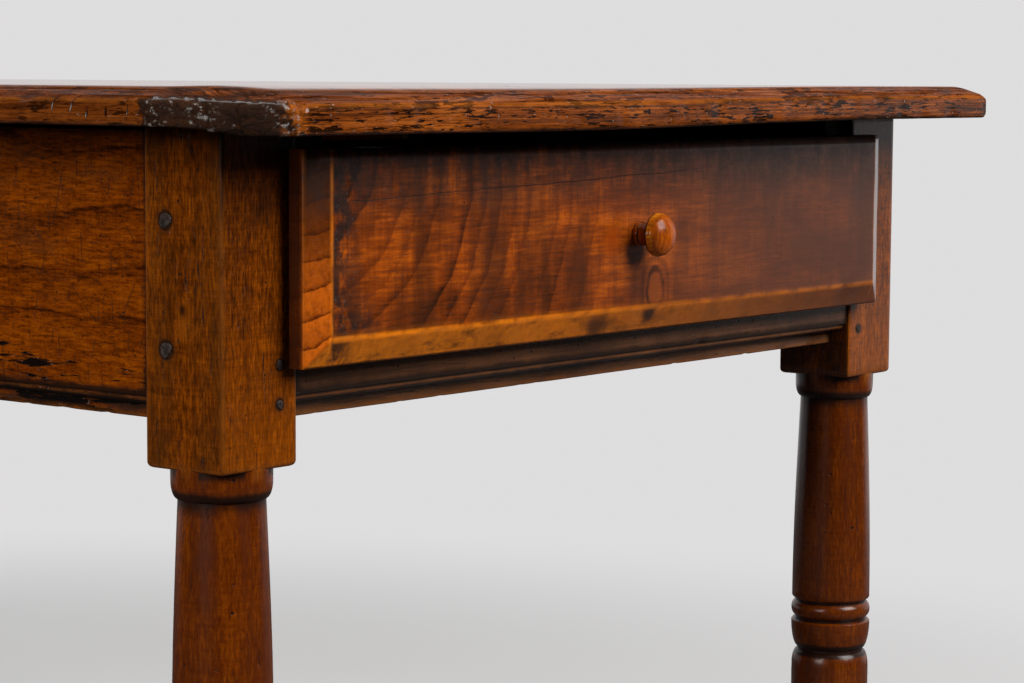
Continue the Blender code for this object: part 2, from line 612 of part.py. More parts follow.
def build_stretchers(frame):
    """Make the H of two end stretchers and the medial one, with the pegs of the medial joints."""
    shoulder = INNER_X - SEAT_GAP
    tip = INNER_X + STRETCHER_TENON_LENGTH
    tenon_low = (STRETCHER_HEIGHT - STRETCHER_TENON_HEIGHT) / 2
    half_tenon = STRETCHER_TENON_THICKNESS / 2
    medial_span = 2 * LEG_Y - STRETCHER_THICKNESS
    medial_low = (STRETCHER_HEIGHT - MEDIAL_TENON_HEIGHT) / 2
    for name, sign in (("front", -1), ("rear", 1)):
        end = piece(f"stretcher_{name}", bar(shoulder, STRETCHER_THICKNESS / 2, STRETCHER_HEIGHT), LEG_WOOD, frame,
                    (0.0, sign * LEG_Y, STRETCHER_BOTTOM))
        combine(end, box((-tip, -half_tenon, tenon_low), (tip, half_tenon, tenon_low + STRETCHER_TENON_HEIGHT)),
                "UNION", "tenons")
        half = MEDIAL_TENON_THICKNESS / 2 + SEAT_GAP
        mouth_y = -sign * STRETCHER_THICKNESS / 2
        ys = sorted((mouth_y - sign * GLUE_ROOM, mouth_y + sign * (MEDIAL_TENON_LENGTH + GLUE_ROOM)))
        combine(end, box((-half, ys[0], medial_low - SEAT_GAP),
                         (half, ys[1], medial_low + MEDIAL_TENON_HEIGHT + SEAT_GAP)), "DIFFERENCE", "medial_mortise")
        bores = bmesh.new()
        for side in (-1, 1):
            mouth = (side * (INNER_X + STRETCHER_PEG_SHOULDER), sign * LEG_SIZE / 2, STRETCHER_HEIGHT / 2)
            add_bore(bores, mouth, (0, sign, 0), STRETCHER_PEG_DIAMETER, STRETCHER_PEG_LENGTH)
        mouth = Vector((0.0, mouth_y + sign * MEDIAL_PEG_SHOULDER, STRETCHER_HEIGHT))
        add_bore(bores, mouth, (0, 0, 1), MEDIAL_PEG_DIAMETER, MEDIAL_PEG_LENGTH)
        combine(end, bores, "DIFFERENCE", "peg_bores")
        world = Vector(end.location) + mouth
        peg(f"peg_medial_{name}", frame, world, (0, 0, 1), MEDIAL_PEG_DIAMETER, MEDIAL_PEG_LENGTH)

    medial = piece("stretcher_medial", bar(medial_span / 2 - SEAT_GAP, MEDIAL_WIDTH / 2, MEDIAL_HEIGHT), LEG_WOOD,
                   frame, (0.0, 0.0, MEDIAL_BOTTOM), math.pi / 2)
    low = (MEDIAL_HEIGHT - MEDIAL_TENON_HEIGHT) / 2
    tip = medial_span / 2 + MEDIAL_TENON_LENGTH
    half = MEDIAL_TENON_THICKNESS / 2
    combine(medial, box((-tip, -half, low), (tip, half, low + MEDIAL_TENON_HEIGHT)), "UNION", "tenons")
    bores = bmesh.new()
    for sign in (-1, 1):
        mouth = (sign * (medial_span / 2 + MEDIAL_PEG_SHOULDER), 0.0, (MEDIAL_HEIGHT + STRETCHER_HEIGHT) / 2)
        add_bore(bores, mouth, (0, 0, 1), MEDIAL_PEG_DIAMETER, MEDIAL_PEG_LENGTH)
    combine(medial, bores, "DIFFERENCE", "peg_bores")


def build_bearers(frame):
    """Make what carries the drawer: a runner, a guide and a kicker at each side."""
    for name, sign in (("left", -1), ("right", 1)):
        inner = BOX_HALF - RUNNER_UNDER_SIDE
        outer = APRON_INSIDE_X - SEAT_GAP
        rail_back = -OUTER_Y + APRON_SETBACK + RAIL_THICKNESS + SEAT_GAP
        leg_back = -INNER_Y + SEAT_GAP
        beside_leg = INNER_X - SEAT_GAP
        outline = [(inner, rail_back), (beside_leg, rail_back), (beside_leg, leg_back), (outer, leg_back),
                   (outer, BEARER_END), (inner, BEARER_END)]
        runner = prism([(sign * x, y) for x, y in outline], -RUNNER_HEIGHT, 0.0, axis=2)
        piece(f"drawer_runner_{name}", runner, INNER_WOOD, frame, (0, 0, RAIL_TOP))

        xs = sorted((sign * (BOX_HALF + RUN_GAP), sign * (BOX_HALF + RUN_GAP + GUIDE_WIDTH)))
        guide = box((xs[0], leg_back, SEAT_GAP), (xs[1], BEARER_END, GUIDE_HEIGHT))
        piece(f"drawer_guide_{name}", guide, INNER_WOOD, frame, (0, 0, RAIL_TOP))

        xs = sorted((sign * (BOX_HALF - KICKER_WIDTH), sign * BOX_HALF))
        bottom = DRAWER_BASE + SIDE_HEIGHT + RUN_GAP
        kicker = box((xs[0], -OUTER_Y + KICKER_SETBACK, bottom), (xs[1], BEARER_END, UNDERSIDE - SEAT_GAP))
        piece(f"drawer_kicker_{name}", kicker, INNER_WOOD, frame)


def tail_outline(start, growth):
    """Return the dovetails of a drawer side as outlines in (depth, height).

    Each tail widens towards depth = start; growth enlarges the outline, for a socket.
    """
    pitch = SIDE_HEIGHT / TAIL_COUNT
    tails = []
    for number in range(TAIL_COUNT):
        middle = pitch * (number + 0.5)
        tip = (pitch - PIN_WIDTH) / 2 + growth
        root = tip - TAIL_FLARE
        tails.append([(TONGUE_DEPTH, middle + root), (start, middle + tip), (start, middle - tip),
                      (TONGUE_DEPTH, middle - root)])
    return tails


def lip_panel():
    """Return the drawer front's panel, planed to a bevel left, right and below."""
    half = INNER_X + LIP_OVERLAP
    face = -LIP_EDGE - FRONT_BEVEL_DEPTH
    shape = box((-half, face, -LIP_OVERLAP), (half, 0.0, FRONT_TOP))
    for point, outward in (((-half, -LIP_EDGE, 0), (-1, 0, 0)), ((half, -LIP_EDGE, 0), (1, 0, 0)),
                           ((0, -LIP_EDGE, -LIP_OVERLAP), (0, 0, -1))):
        slope = Vector(outward) * FRONT_BEVEL_DEPTH + Vector((0, -FRONT_BEVEL_WIDTH, 0))
        plane_off(shape, Vector(point), slope.normalized())
    return shape


def build_drawer_front(drawer):
    """Make the lipped front with its tongue, dovetail sockets, bottom groove and knob hole."""
    front = piece("drawer_front", lip_panel(), FRONT_WOOD, drawer)
    sunk = LIP_EDGE / 2
    combine(front, box((-BOX_HALF, -sunk, 0.0), (BOX_HALF, TONGUE_DEPTH, SIDE_HEIGHT)), "UNION", "tongue")
    for number, outline in enumerate(tail_outline(SEAT_GAP, SEAT_GAP)):
        reach = TONGUE_DEPTH + GLUE_ROOM
        stretched = [(reach if depth == TONGUE_DEPTH else depth, height) for depth, height in outline]
        for label, sign in (("left", -1), ("right", 1)):
            xs = sorted((sign * (BOX_INSIDE - SEAT_GAP), sign * (BOX_HALF + GLUE_ROOM)))
            combine(front, prism(stretched, xs[0], xs[1], axis=0), "DIFFERENCE", f"socket_{label}_{number + 1}")
    half = BOX_INSIDE - GROOVE_MARGIN
    groove = box((-half, TONGUE_DEPTH - BOTTOM_GROOVE, BOTTOM_LIFT - SEAT_GAP),
                 (half, TONGUE_DEPTH + GLUE_ROOM, BOTTOM_LIFT + BOTTOM_THICKNESS + SEAT_GAP))
    combine(front, groove, "DIFFERENCE", "bottom_groove")
    hole = bmesh.new()
    radius = KNOB_SPIGOT_DIAMETER / 2 + SEAT_GAP
    bmesh.ops.create_cone(hole, cap_ends=True, segments=KNOB_STEPS, radius1=radius, radius2=radius,
                          depth=2 * (KNOB_SPIGOT_LENGTH + GLUE_ROOM),
                          matrix=Matrix.Translation(knob_place()) @ aim((0, -1, 0)).to_matrix().to_4x4())
    combine(front, hole, "DIFFERENCE", "knob_hole")


def knob_place():
    """Return the point on the drawer front where the knob's axis meets its face."""
    middle = (FRONT_TOP - LIP_OVERLAP) / 2
    return Vector((0.0, -LIP_EDGE - FRONT_BEVEL_DEPTH, middle + KNOB_RAISE))


def build_knob(drawer):
    """Make the turned knob: spigot, bead, neck, rim and domed face."""
    spigot, base, neck = KNOB_SPIGOT_DIAMETER / 2, KNOB_BASE_DIAMETER / 2, KNOB_NECK_DIAMETER / 2
    rim = KNOB_DIAMETER / 2
    profile = [(0.0, -KNOB_SPIGOT_LENGTH), (spigot, -KNOB_SPIGOT_LENGTH), (spigot, SEAT_GAP)]
    bead = quarter((neck, SEAT_GAP + KNOB_BASE_HEIGHT / 2), (base - neck, KNOB_BASE_HEIGHT / 2), -90, 90, ARC_STEPS)
    profile += bead
    under = KNOB_RIM - bead[-1][1]
    profile += quarter((rim, bead[-1][1]), (neck - rim, under), 0, 90, ARC_STEPS)[1:]
    dome_base = KNOB_RIM + KNOB_RIM_THICKNESS
    profile += quarter((0.0, dome_base), (rim, KNOB_DOME), 0, 90, 2 * ARC_STEPS)[:-1]
    profile.append((0.0, dome_base + KNOB_DOME))
    knob = piece("drawer_knob", turned(profile, KNOB_STEPS), KNOB_WOOD, drawer, knob_place(), round_shape=True)
    knob.rotation_mode = "QUATERNION"
    knob.rotation_quaternion = aim((0, -1, 0))


def build_drawer_box(drawer):
    """Make the drawer's dovetailed sides, its housed back and its grooved bottom."""
    groove_low = BOTTOM_LIFT - SEAT_GAP
    groove_high = BOTTOM_LIFT + BOTTOM_THICKNESS + SEAT_GAP
    back_front = DRAWER_DEPTH - BACK_INSET - BACK_THICKNESS
    back_rear = DRAWER_DEPTH - BACK_INSET
    for label, sign in (("left", -1), ("right", 1)):
        shoulder = TONGUE_DEPTH + SEAT_GAP
        outline = [(DRAWER_DEPTH, 0.0), (DRAWER_DEPTH, SIDE_HEIGHT), (shoulder, SIDE_HEIGHT)]
        for tail in reversed(tail_outline(2 * SEAT_GAP, 0.0)):
            outline += [(shoulder, tail[0][1]), tail[1], tail[2], (shoulder, tail[3][1])]
        outline.append((shoulder, 0.0))
        xs = sorted((sign * BOX_INSIDE, sign * BOX_HALF))
        side = piece(f"drawer_side_{label}", prism(outline, xs[0], xs[1], axis=0), INNER_WOOD, drawer)
        xs = sorted((sign * (BOX_INSIDE - GLUE_ROOM), sign * (BOX_INSIDE + BOTTOM_GROOVE)))
        groove = box((xs[0], shoulder + GROOVE_MARGIN, groove_low), (xs[1], DRAWER_DEPTH + GLUE_ROOM, groove_high))
        combine(side, groove, "DIFFERENCE", "bottom_groove")
        xs = sorted((sign * (BOX_INSIDE - GLUE_ROOM), sign * (BOX_INSIDE + BACK_HOUSING)))
        housing = box((xs[0], back_front - SEAT_GAP, BOTTOM_LIFT + BOTTOM_THICKNESS / 2),
                      (xs[1], back_rear + SEAT_GAP, SIDE_HEIGHT + GLUE_ROOM))
        combine(side, housing, "DIFFERENCE", "back_housing")

    half = BOX_INSIDE + BACK_HOUSING - SEAT_GAP
    back = box((-half, back_front, groove_high), (half, back_rear, SIDE_HEIGHT - BACK_TOP_DROP))
    piece("drawer_back", back, INNER_WOOD, drawer)

    wide = BOX_INSIDE + BOTTOM_GROOVE - SEAT_GAP
    narrow = BOX_INSIDE - GROOVE_MARGIN - SEAT_GAP
    step = TONGUE_DEPTH + 2 * SEAT_GAP + GROOVE_MARGIN
    edge = TONGUE_DEPTH - BOTTOM_GROOVE + SEAT_GAP
    outline = [(-narrow, edge), (narrow, edge), (narrow, step), (wide, step), (wide, DRAWER_DEPTH),
               (-wide, DRAWER_DEPTH), (-wide, step), (-narrow, step)]
    bottom = prism(outline, BOTTOM_LIFT, BOTTOM_LIFT + BOTTOM_THICKNESS, axis=2)
    piece("drawer_bottom", bottom, INNER_WOOD, drawer)


def main():
    """Build the whole table."""
    clear_scene()
    frame = group("table_frame")
    build_top(frame)
    for name, corner in CORNERS.items():
        build_leg(frame, name, corner)
    build_aprons(frame)
    build_stretchers(frame)
    build_bearers(frame)
    drawer = group("drawer_slide", (0.0, DRAWER_BACK_PLANE, DRAWER_BASE))
    build_drawer_front(drawer)
    build_knob(drawer)
    build_drawer_box(drawer)


main()
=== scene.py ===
"""Looks of the farmhouse table.

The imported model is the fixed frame. Worn planks, turned legs, moulded aprons, pegs and a lipped drawer
front stand for the plain solids, and every piece gets wood that its own nodes make. Metres, +Z up, with
the drawer end towards -Y.
"""
import json
import logging
import math
from dataclasses import dataclass, field
from enum import Enum
from typing import Iterable, Sequence, TypeAlias

import bmesh
import bpy
import numpy as np
from bmesh.types import BMEdge, BMesh, BMVert
from bpy.types import ID, Material, Mesh, NodeSocket, NodeTree, Object
from mathutils import Matrix, Vector, noise

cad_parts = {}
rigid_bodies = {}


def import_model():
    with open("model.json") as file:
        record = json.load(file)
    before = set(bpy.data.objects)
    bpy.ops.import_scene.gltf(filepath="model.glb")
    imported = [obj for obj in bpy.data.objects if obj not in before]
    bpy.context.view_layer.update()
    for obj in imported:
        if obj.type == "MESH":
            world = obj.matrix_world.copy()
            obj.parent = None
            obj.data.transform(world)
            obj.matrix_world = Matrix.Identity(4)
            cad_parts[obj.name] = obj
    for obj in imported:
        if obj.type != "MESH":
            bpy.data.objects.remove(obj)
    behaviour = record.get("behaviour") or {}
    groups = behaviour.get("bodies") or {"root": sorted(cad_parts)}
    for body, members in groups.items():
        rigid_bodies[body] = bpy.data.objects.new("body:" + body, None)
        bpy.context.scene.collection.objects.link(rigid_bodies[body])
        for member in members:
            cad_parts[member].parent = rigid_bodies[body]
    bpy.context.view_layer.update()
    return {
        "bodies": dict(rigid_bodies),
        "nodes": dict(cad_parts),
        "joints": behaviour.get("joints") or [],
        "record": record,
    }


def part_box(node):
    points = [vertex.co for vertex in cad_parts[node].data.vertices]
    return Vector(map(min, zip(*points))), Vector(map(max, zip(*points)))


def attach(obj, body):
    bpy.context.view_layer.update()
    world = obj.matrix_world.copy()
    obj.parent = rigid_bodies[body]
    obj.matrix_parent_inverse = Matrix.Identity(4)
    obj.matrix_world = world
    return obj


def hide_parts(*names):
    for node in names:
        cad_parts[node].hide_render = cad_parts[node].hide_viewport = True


LOG = logging.getLogger("farmhouse_table")
SHARP_ANGLE = math.radians(38)
QUARTER = math.pi / 2
TOUCH = 1e-4
WARM = (1.0, 0.98, 0.96)
CORNERS = {"front_left": (-1, -1), "front_right": (1, -1), "rear_left": (-1, 1), "rear_right": (1, 1)}
LAID_ALONG_X = Matrix(((0, 0, 1, 0), (1, 0, 0, 0), (0, 1, 0, 0), (0, 0, 0, 1)))

Array = np.ndarray
Colour = tuple[float, float, float]
Pair = tuple[float, float]
Triple = tuple[float, float, float]
Stretch = float | Pair | Triple
Section = tuple[list[Pair], list[float]]
Value: TypeAlias = "Wire | float"


class Grain(Enum):
    """The axis that a board's grain runs along, as the order of axes: along, across, through."""

    X = ("X", "Y", "Z")
    Y = ("Y", "X", "Z")
    Z = ("Z", "X", "Y")


class Face(Enum):
    """The plane that a flat mark lies in, as its two axes."""

    END = ("X", "Z")
    SIDE = ("Y", "Z")
    TOP = ("X", "Y")


class Body(Enum):
    """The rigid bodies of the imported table."""

    FRAME = "frame"
    DRAWER = "drawer"


class Wire:
    """An output socket of a node tree, with arithmetic that adds Math nodes."""

    def __init__(self, tree: "Tree", socket: NodeSocket) -> None:
        """Keep the socket and the tree that it belongs to."""
        self.tree, self.socket = tree, socket

    def math(self, operation: str, *values: Value) -> "Wire":
        """Add one Math node and return its result."""
        return self.tree.node("ShaderNodeMath", {"operation": operation}, dict(enumerate(values)))

    def __add__(self, other: Value) -> "Wire":
        """Return the sum."""
        return self.math("ADD", self, other)

    def __sub__(self, other: Value) -> "Wire":
        """Return the difference."""
        return self.math("SUBTRACT", self, other)

    def __rsub__(self, other: float) -> "Wire":
        """Return a number less this value."""
        return self.math("SUBTRACT", other, self)

    def __mul__(self, other: Value) -> "Wire":
        """Return the product."""
        return self.math("MULTIPLY", self, other)

    def __truediv__(self, other: Value) -> "Wire":
        """Return the quotient."""
        return self.math("DIVIDE", self, other)

    def __pow__(self, other: float) -> "Wire":
        """Return this value to a power."""
        return self.math("POWER", self, other)

    def __abs__(self) -> "Wire":
        """Return the size of this value without its sign."""
        return self.math("ABSOLUTE", self)

    __radd__, __rmul__ = __add__, __mul__

    def fract(self) -> "Wire":
        """Return the part after the decimal point."""
        return self.math("FRACT", self)

    def floor(self) -> "Wire":
        """Return the whole part."""
        return self.math("FLOOR", self)

    def above(self, limit: Value) -> "Wire":
        """Return 1 where this value is over a limit, else 0."""
        return self.math("GREATER_THAN", self, limit)

    def most(self, other: Value) -> "Wire":
        """Return the larger of two values."""
        return self.math("MAXIMUM", self, other)

    def least(self, other: Value) -> "Wire":
        """Return the smaller of two values."""
        return self.math("MINIMUM", self, other)

    def hypot(self, other: "Wire") -> "Wire":
        """Return the distance that two values at right angles span."""
        return (self * self + other * other) ** 0.5

    def rise(self, low: float, high: float) -> "Wire":
        """Return a smooth step from 0 at low to 1 at high."""
        inputs = {"Value": self, "From Min": low, "From Max": high}
        return self.tree.node("ShaderNodeMapRange", {"interpolation_type": "SMOOTHSTEP"}, inputs)

    def fall(self, low: float, high: float) -> "Wire":
        """Return a smooth step from 1 at low to 0 at high."""
        return 1.0 - self.rise(low, high)


class Tree:
    """A shader or geometry node tree that is being built."""

    def __init__(self, tree: NodeTree) -> None:
        """Wrap an existing, empty node tree."""
        self.tree = tree

    def node(self, kind: str, settings: dict | None = None, inputs: dict | None = None,
             output: int | str = 0) -> Wire:
        """Add any node.

        Args:
            kind: the node's type name.
            settings: properties, which are set before the inputs.
            inputs: socket name or index to a value or a wire.
            output: the output socket to return.

        Returns:
            The chosen output.
        """
        made = self.tree.nodes.new(kind)
        for name, value in (settings or {}).items():
            setattr(made, name, value)
        for key, value in (inputs or {}).items():
            if isinstance(value, Wire):
                self.tree.links.new(value.socket, made.inputs[key])
            else:
                made.inputs[key].default_value = value
        return Wire(self, made.outputs[output] if made.outputs else None)

    def other(self, wire: Wire, output: int | str) -> Wire:
        """Return another output of the node that a wire leaves."""
        return Wire(self, wire.socket.node.outputs[output])

    def vector(self, operation: str, inputs: dict, output: int | str = 0) -> Wire:
        """Combine vectors with a Vector Math node."""
        return self.node("ShaderNodeVectorMath", {"operation": operation}, inputs, output)

    def joined(self, *values: Value) -> Wire:
        """Return a vector of up to three numbers."""
        return self.node("ShaderNodeCombineXYZ", None, dict(enumerate(values)))

    def parts(self, vector: Wire) -> dict[str, Wire]:
        """Return a vector's X, Y and Z by name."""
        first = self.node("ShaderNodeSeparateXYZ", None, {0: vector})
        return {name: self.other(first, name) for name in "XYZ"}

    def noise(self, vector: Wire, stretch: Stretch, detail: float = 2.0, roughness: float = 0.5,
              shift: float = 0.0) -> Wire:
        """Add noise whose grains are 1 / stretch long in each direction.

        Args:
            vector: where the noise is read.
            stretch: one number, a pair for along and across, or three.
            detail: how many finer layers it has.
            roughness: how strong those are.
            shift: moves the pattern, so that no two are alike.

        Returns:
            The noise, from 0 to 1.
        """
        values = stretch if isinstance(stretch, tuple) else (stretch,)
        values += values[-1:] * (3 - len(values))
        place = self.vector("MULTIPLY_ADD", {0: vector, 1: values, 2: (shift, shift * 1.7, shift * 0.6)})
        inputs = {"Vector": place, "Scale": 1.0, "Detail": detail, "Roughness": roughness}
        return self.node("ShaderNodeTexNoise", {"noise_dimensions": "3D"}, inputs)

    def blend(self, factor: Value, first: Wire | Colour, second: Wire | Colour) -> Wire:
        """Mix two colours."""
        first, second = (one if isinstance(one, Wire) else (*one, 1.0) for one in (first, second))
        return self.node("ShaderNodeMix", {"data_type": "RGBA"}, {0: factor, 6: first, 7: second}, 2)


def emptied(owner: ID) -> Tree:
    """Give a material or a world an empty node tree.

    Args:
        owner: the material or the world.

    Returns:
        Its tree, without nodes.
    """
    owner.use_nodes = True
    owner.node_tree.nodes.clear()
    return Tree(owner.node_tree)


@dataclass
class Surface:
    """A wood surface while its nodes are laid, one mark over the other."""

    tree: Tree
    point: Wire
    grain: Wire
    colour: Wire
    roughness: Wire
    coat: Wire
    height: Wire

    def plane(self, face: Face) -> tuple[Wire, Wire]:
        """Return the two object coordinates of a flat face."""
        axes = self.tree.parts(self.point)
        return axes[face.value[0]], axes[face.value[1]]

    def noise(self, stretch: Stretch, *shape: float) -> Wire:
        """Return noise over the object, of a detail, roughness and shift."""
        return self.tree.noise(self.point, stretch, *shape)

    def figure(self, stretch: Stretch, *shape: float) -> Wire:
        """Return noise along the grain, of a detail, roughness and shift."""
        return self.tree.noise(self.grain, stretch, *shape)

    def attribute(self, name: str) -> Wire:
        """Return a number that the mesh carries at its points."""
        return self.tree.node("ShaderNodeAttribute", {"attribute_name": name}, None, "Fac")

    def within(self, mask: Wire, where: str) -> Wire:
        """Return a mask kept to where the mesh says, or all of it if no name is given."""
        return mask * self.attribute(where) if where else mask

    def tint(self, mask: Wire, colour: Wire | Colour) -> None:
        """Lay a colour where a mask is 1."""
        self.colour = self.tree.blend(mask, self.colour, colour)

    def sink(self, mask: Wire, depth: float) -> None:
        """Lower the surface by a depth in metres where a mask is 1."""
        self.height = self.height - mask * depth

    def roughen(self, mask: Wire, amount: float) -> None:
        """Make the surface rougher where a mask is 1, or smoother if the amount is below 0."""
        self.roughness = self.roughness + mask * amount


class Mark:
    """Something that age or use leaves on a wood surface."""

    def lay(self, surface: Surface) -> None:
        """Add this mark's nodes to a surface."""
        raise NotImplementedError


@dataclass(frozen=True)
class RubbedAndHighlit(Mark):
    """Arrises that hands have rubbed pale, where the mesh says that they are; with a bright colour, as on the drawer
    front and the knob, a painted highlight along them.
    """

    colour: Colour
    amount: float

    def lay(self, surface: Surface) -> None:
        """Blend the pale colour in along the arrises, in patches.

        Args:
            surface: the surface to mark.
        """
        patches = surface.noise(60, 3, 0.6, 3.1).rise(0.3, 0.62)
        mask = surface.attribute("arris") * (patches * 0.75 + 0.25) * self.amount
        surface.tint(mask, self.colour)
        surface.roughen(mask, -0.06)


@dataclass(frozen=True)
class GrimeAndShade(Mark):
    """Old dark wax and dirt in hollows, and painted shade under the top, in corners and between parts, where the mesh
    says so.
    """

    colour: Colour
    amount: float = 0.9

    def lay(self, surface: Surface) -> None:
        """Blend the dark colour in, with an uneven edge.

        Args:
            surface: the surface to mark.
        """
        patches = surface.noise(45, 4, 0.65, 7.7)
        mask = (surface.attribute("grime") * 1.3 + patches - 0.62).rise(0.0, 0.8) * self.amount
        surface.tint(mask, self.colour)
        surface.roughen(mask, 0.12)


@dataclass(frozen=True)
class Pits(Mark):
    """Scattered pits in a flat face, such as worm holes and dents, one to a cell at most."""

    face: Face
    cell: Pair
    radius: float
    share: float
    depth: float
    colour: Colour = (0.006, 0.004, 0.003)
    shift: float = 0.0
    band: Pair | None = None
    band_edge: float = 0.003
    where: str = ""

    def lay(self, surface: Surface) -> None:
        """Sink and darken a share of the cells of a Voronoi pattern.

        Args:
            surface: the surface to mark.
        """
        tree = surface.tree
        first, second = surface.plane(self.face)
        place = tree.joined(first / self.cell[0] + self.shift, second / self.cell[1] + self.shift)
        settings = {"voronoi_dimensions": "2D", "feature": "F1"}
        distance = tree.node("ShaderNodeTexVoronoi", settings, {"Vector": place, "Scale": 1.0})
        pick = tree.parts(tree.other(distance, "Color"))
        size = pick["Y"] * 0.7 + 0.5
        mask = (distance / size).fall(self.radius * 0.55, self.radius) * pick["X"].above(1.0 - self.share)
        if self.band:
            low, high = self.band
            mask = mask * second.rise(low, low + self.band_edge) * second.fall(high - self.band_edge, high)
        mask = surface.within(mask, self.where)
        surface.tint(mask * 0.92, self.colour)
        surface.sink(mask, self.depth)
        surface.roughen(mask, 0.15)


@dataclass(frozen=True)
class Scratches(Mark):
    """Fine straight scratches at one angle across a flat face."""

    face: Face
    angle: float
    spacing: float
    width: float
    length: float
    share: float
    colour: Colour
    shift: float = 0.0
    amount: float = 0.7
    depth: float = 0.0001
    where: str = ""

    def lay(self, surface: Surface) -> None:
        """Draw thin lines that start and stop where a noise lets them.

        Args:
            surface: the surface to mark.
        """
        tree = surface.tree
        first, second = surface.plane(self.face)
        cosine, sine = math.cos(self.angle), math.sin(self.angle)
        along = first * cosine + second * sine
        across = second * cosine - first * sine
        wander = surface.noise(7, 1, 0.5, self.shift) * (self.spacing * 1.6)
        lane = (across + wander) / self.spacing
        line = abs(lane.fract() - 0.5).fall(0.0, self.width / self.spacing)
        stretch = tree.joined(along / self.length, lane.floor() * 13.7 + self.shift)
        inputs = {"Vector": stretch, "Scale": 1.0, "Detail": 1.0}
        gate = tree.node("ShaderNodeTexNoise", {"noise_dimensions": "2D"}, inputs)
        mask = line * gate.rise(1.0 - self.share, 1.06 - self.share) * self.amount
        mask = surface.within(mask, self.where)
        surface.tint(mask, self.colour)
        surface.sink(mask, self.depth)


@dataclass(frozen=True)
class Checks(Mark):
    """Drying cracks that follow the grain in short runs."""

    stretch: Pair
    width: float
    gate: float
    depth: float
    colour: Colour = (0.008, 0.005, 0.004)
    shift: float = 0.0

    def lay(self, surface: Surface) -> None:
        """Draw the level line of a stretched noise, gated by another one.

        Args:
            surface: the surface to mark.
        """
        level = surface.figure(self.stretch, 2, 0.55, self.shift)
        broad = tuple(value * 0.8 for value in self.stretch)
        gate = surface.figure(broad, 1, 0.5, self.shift + 9.0).rise(self.gate, self.gate + 0.06)
        mask = abs(level - 0.5).fall(0.0, self.width) * gate
        surface.tint(mask * 0.9, self.colour)
        surface.sink(mask, self.depth)


@dataclass(frozen=True)
class SplitAndGlint(Mark):
    """One long fine line across a flat face: a dark crack, and where it is given a bright colour, a painted glint."""

    face: Face
    start: Pair
    end: Pair
    width: float
    colour: Colour = (0.01, 0.006, 0.005)
    where: str = ""
    bow: float = 0.003
    depth: float = 0.0003

    def lay(self, surface: Surface) -> None:
        """Draw a slightly wavy line from start to end.

        Args:
            surface: the surface to mark.
        """
        first, second = surface.plane(self.face)
        run = (first - self.start[0]) / (self.end[0] - self.start[0])
        bow = surface.noise(25, 2, 0.5, 2.0) - 0.5
        level = self.start[1] + run * (self.end[1] - self.start[1]) + bow * self.bow
        thin = surface.noise(90, 1, 0.5, 5.0) * 0.7 + 0.5
        mask = abs(second - level).fall(0.0, self.width) * run.rise(-0.02, 0.04) * run.fall(0.9, 1.05) * thin
        mask = surface.within(mask, self.where)
        surface.tint(mask, self.colour)
        surface.sink(mask, self.depth)


@dataclass(frozen=True)
class Knot(Mark):
    """A long knot with dark rims in a flat face."""

    face: Face
    centre: Pair
    reach: Pair
    dark: Colour
    light: Colour
    sway: float = 0.012

    def lay(self, surface: Surface) -> None:
        """Draw a pale eye inside dark, broken rings.

        Args:
            surface: the surface to mark.
        """
        first, second = surface.plane(self.face)
        sway = (surface.noise((60, 60, 40), 2, 0.5, 4.0) - 0.5) * self.sway
        across = (first - self.centre[0] + sway) / self.reach[0]
        reach = across.hypot((second - self.centre[1]) / self.reach[1])
        rim = abs(reach - 1.0).fall(0.05, 0.26)
        outer = abs(reach - 1.55).fall(0.05, 0.3) * 0.45
        broken = surface.noise(80, 2, 0.5, 8.0).rise(0.3, 0.6)
        surface.tint(reach.fall(0.4, 0.95) * 0.55, self.light)
        surface.tint(rim.most(outer) * (broken * 0.6 + 0.4) * 0.85, self.dark)


@dataclass(frozen=True)
class Spot(Mark):
    """One soft oval patch in a flat face."""

    face: Face
    centre: Pair
    reach: Pair
    colour: Colour
    amount: float

    def lay(self, surface: Surface) -> None:
        """Blend an oval in that fades to nothing at its reach.

        Args:
            surface: the surface to mark.
        """
        first, second = surface.plane(self.face)
        across, along = (first - self.centre[0]) / self.reach[0], (second - self.centre[1]) / self.reach[1]
        ragged = (surface.noise(50, 3, 0.6, 3.0) - 0.5) * 1.2
        surface.tint((across.hypot(along) + ragged).fall(0.1, 1.0) * self.amount, self.colour)


@dataclass(frozen=True)
class Curl(Mark):
    """Soft dark bands across the grain, where the wood's fibres dip away from the light."""

    face: Face
    pitch: Pair
    depth: float
    colour: Colour
    gate: Pair
    shift: float

    def lay(self, surface: Surface) -> None:
        """Blend in bands that are long across the face's second axis.

        Args:
            surface: the surface to mark.
        """
        first, second = surface.plane(self.face)
        place = surface.tree.joined(first / self.pitch[0], second / self.pitch[1], self.shift)
        mask = surface.tree.noise(place, 1, 3, 0.55, self.shift).rise(*self.gate)
        surface.tint(mask * self.depth, self.colour)


@dataclass(frozen=True)
class ScuffsAndPaintedLight(Mark):
    """Patches where the wax has gone dull and rough, everywhere or where the mesh says so; on the drawer front some
    are painted shade and some painted glints.
    """

    stretch: Stretch
    low: float
    high: float
    colour: Colour
    amount: float
    where: str = ""
    shift: float = 0.0

    def lay(self, surface: Surface) -> None:
        """Blend dull patches in.

        Args:
            surface: the surface to mark.
        """
        mask = surface.noise(self.stretch, 4, 0.68, self.shift).rise(self.low, self.high)
        mask = surface.within(mask, self.where) * self.amount
        surface.tint(mask, self.colour)
        surface.roughen(mask, 0.16)
        surface.coat = surface.coat * (1.0 - mask * 0.5)


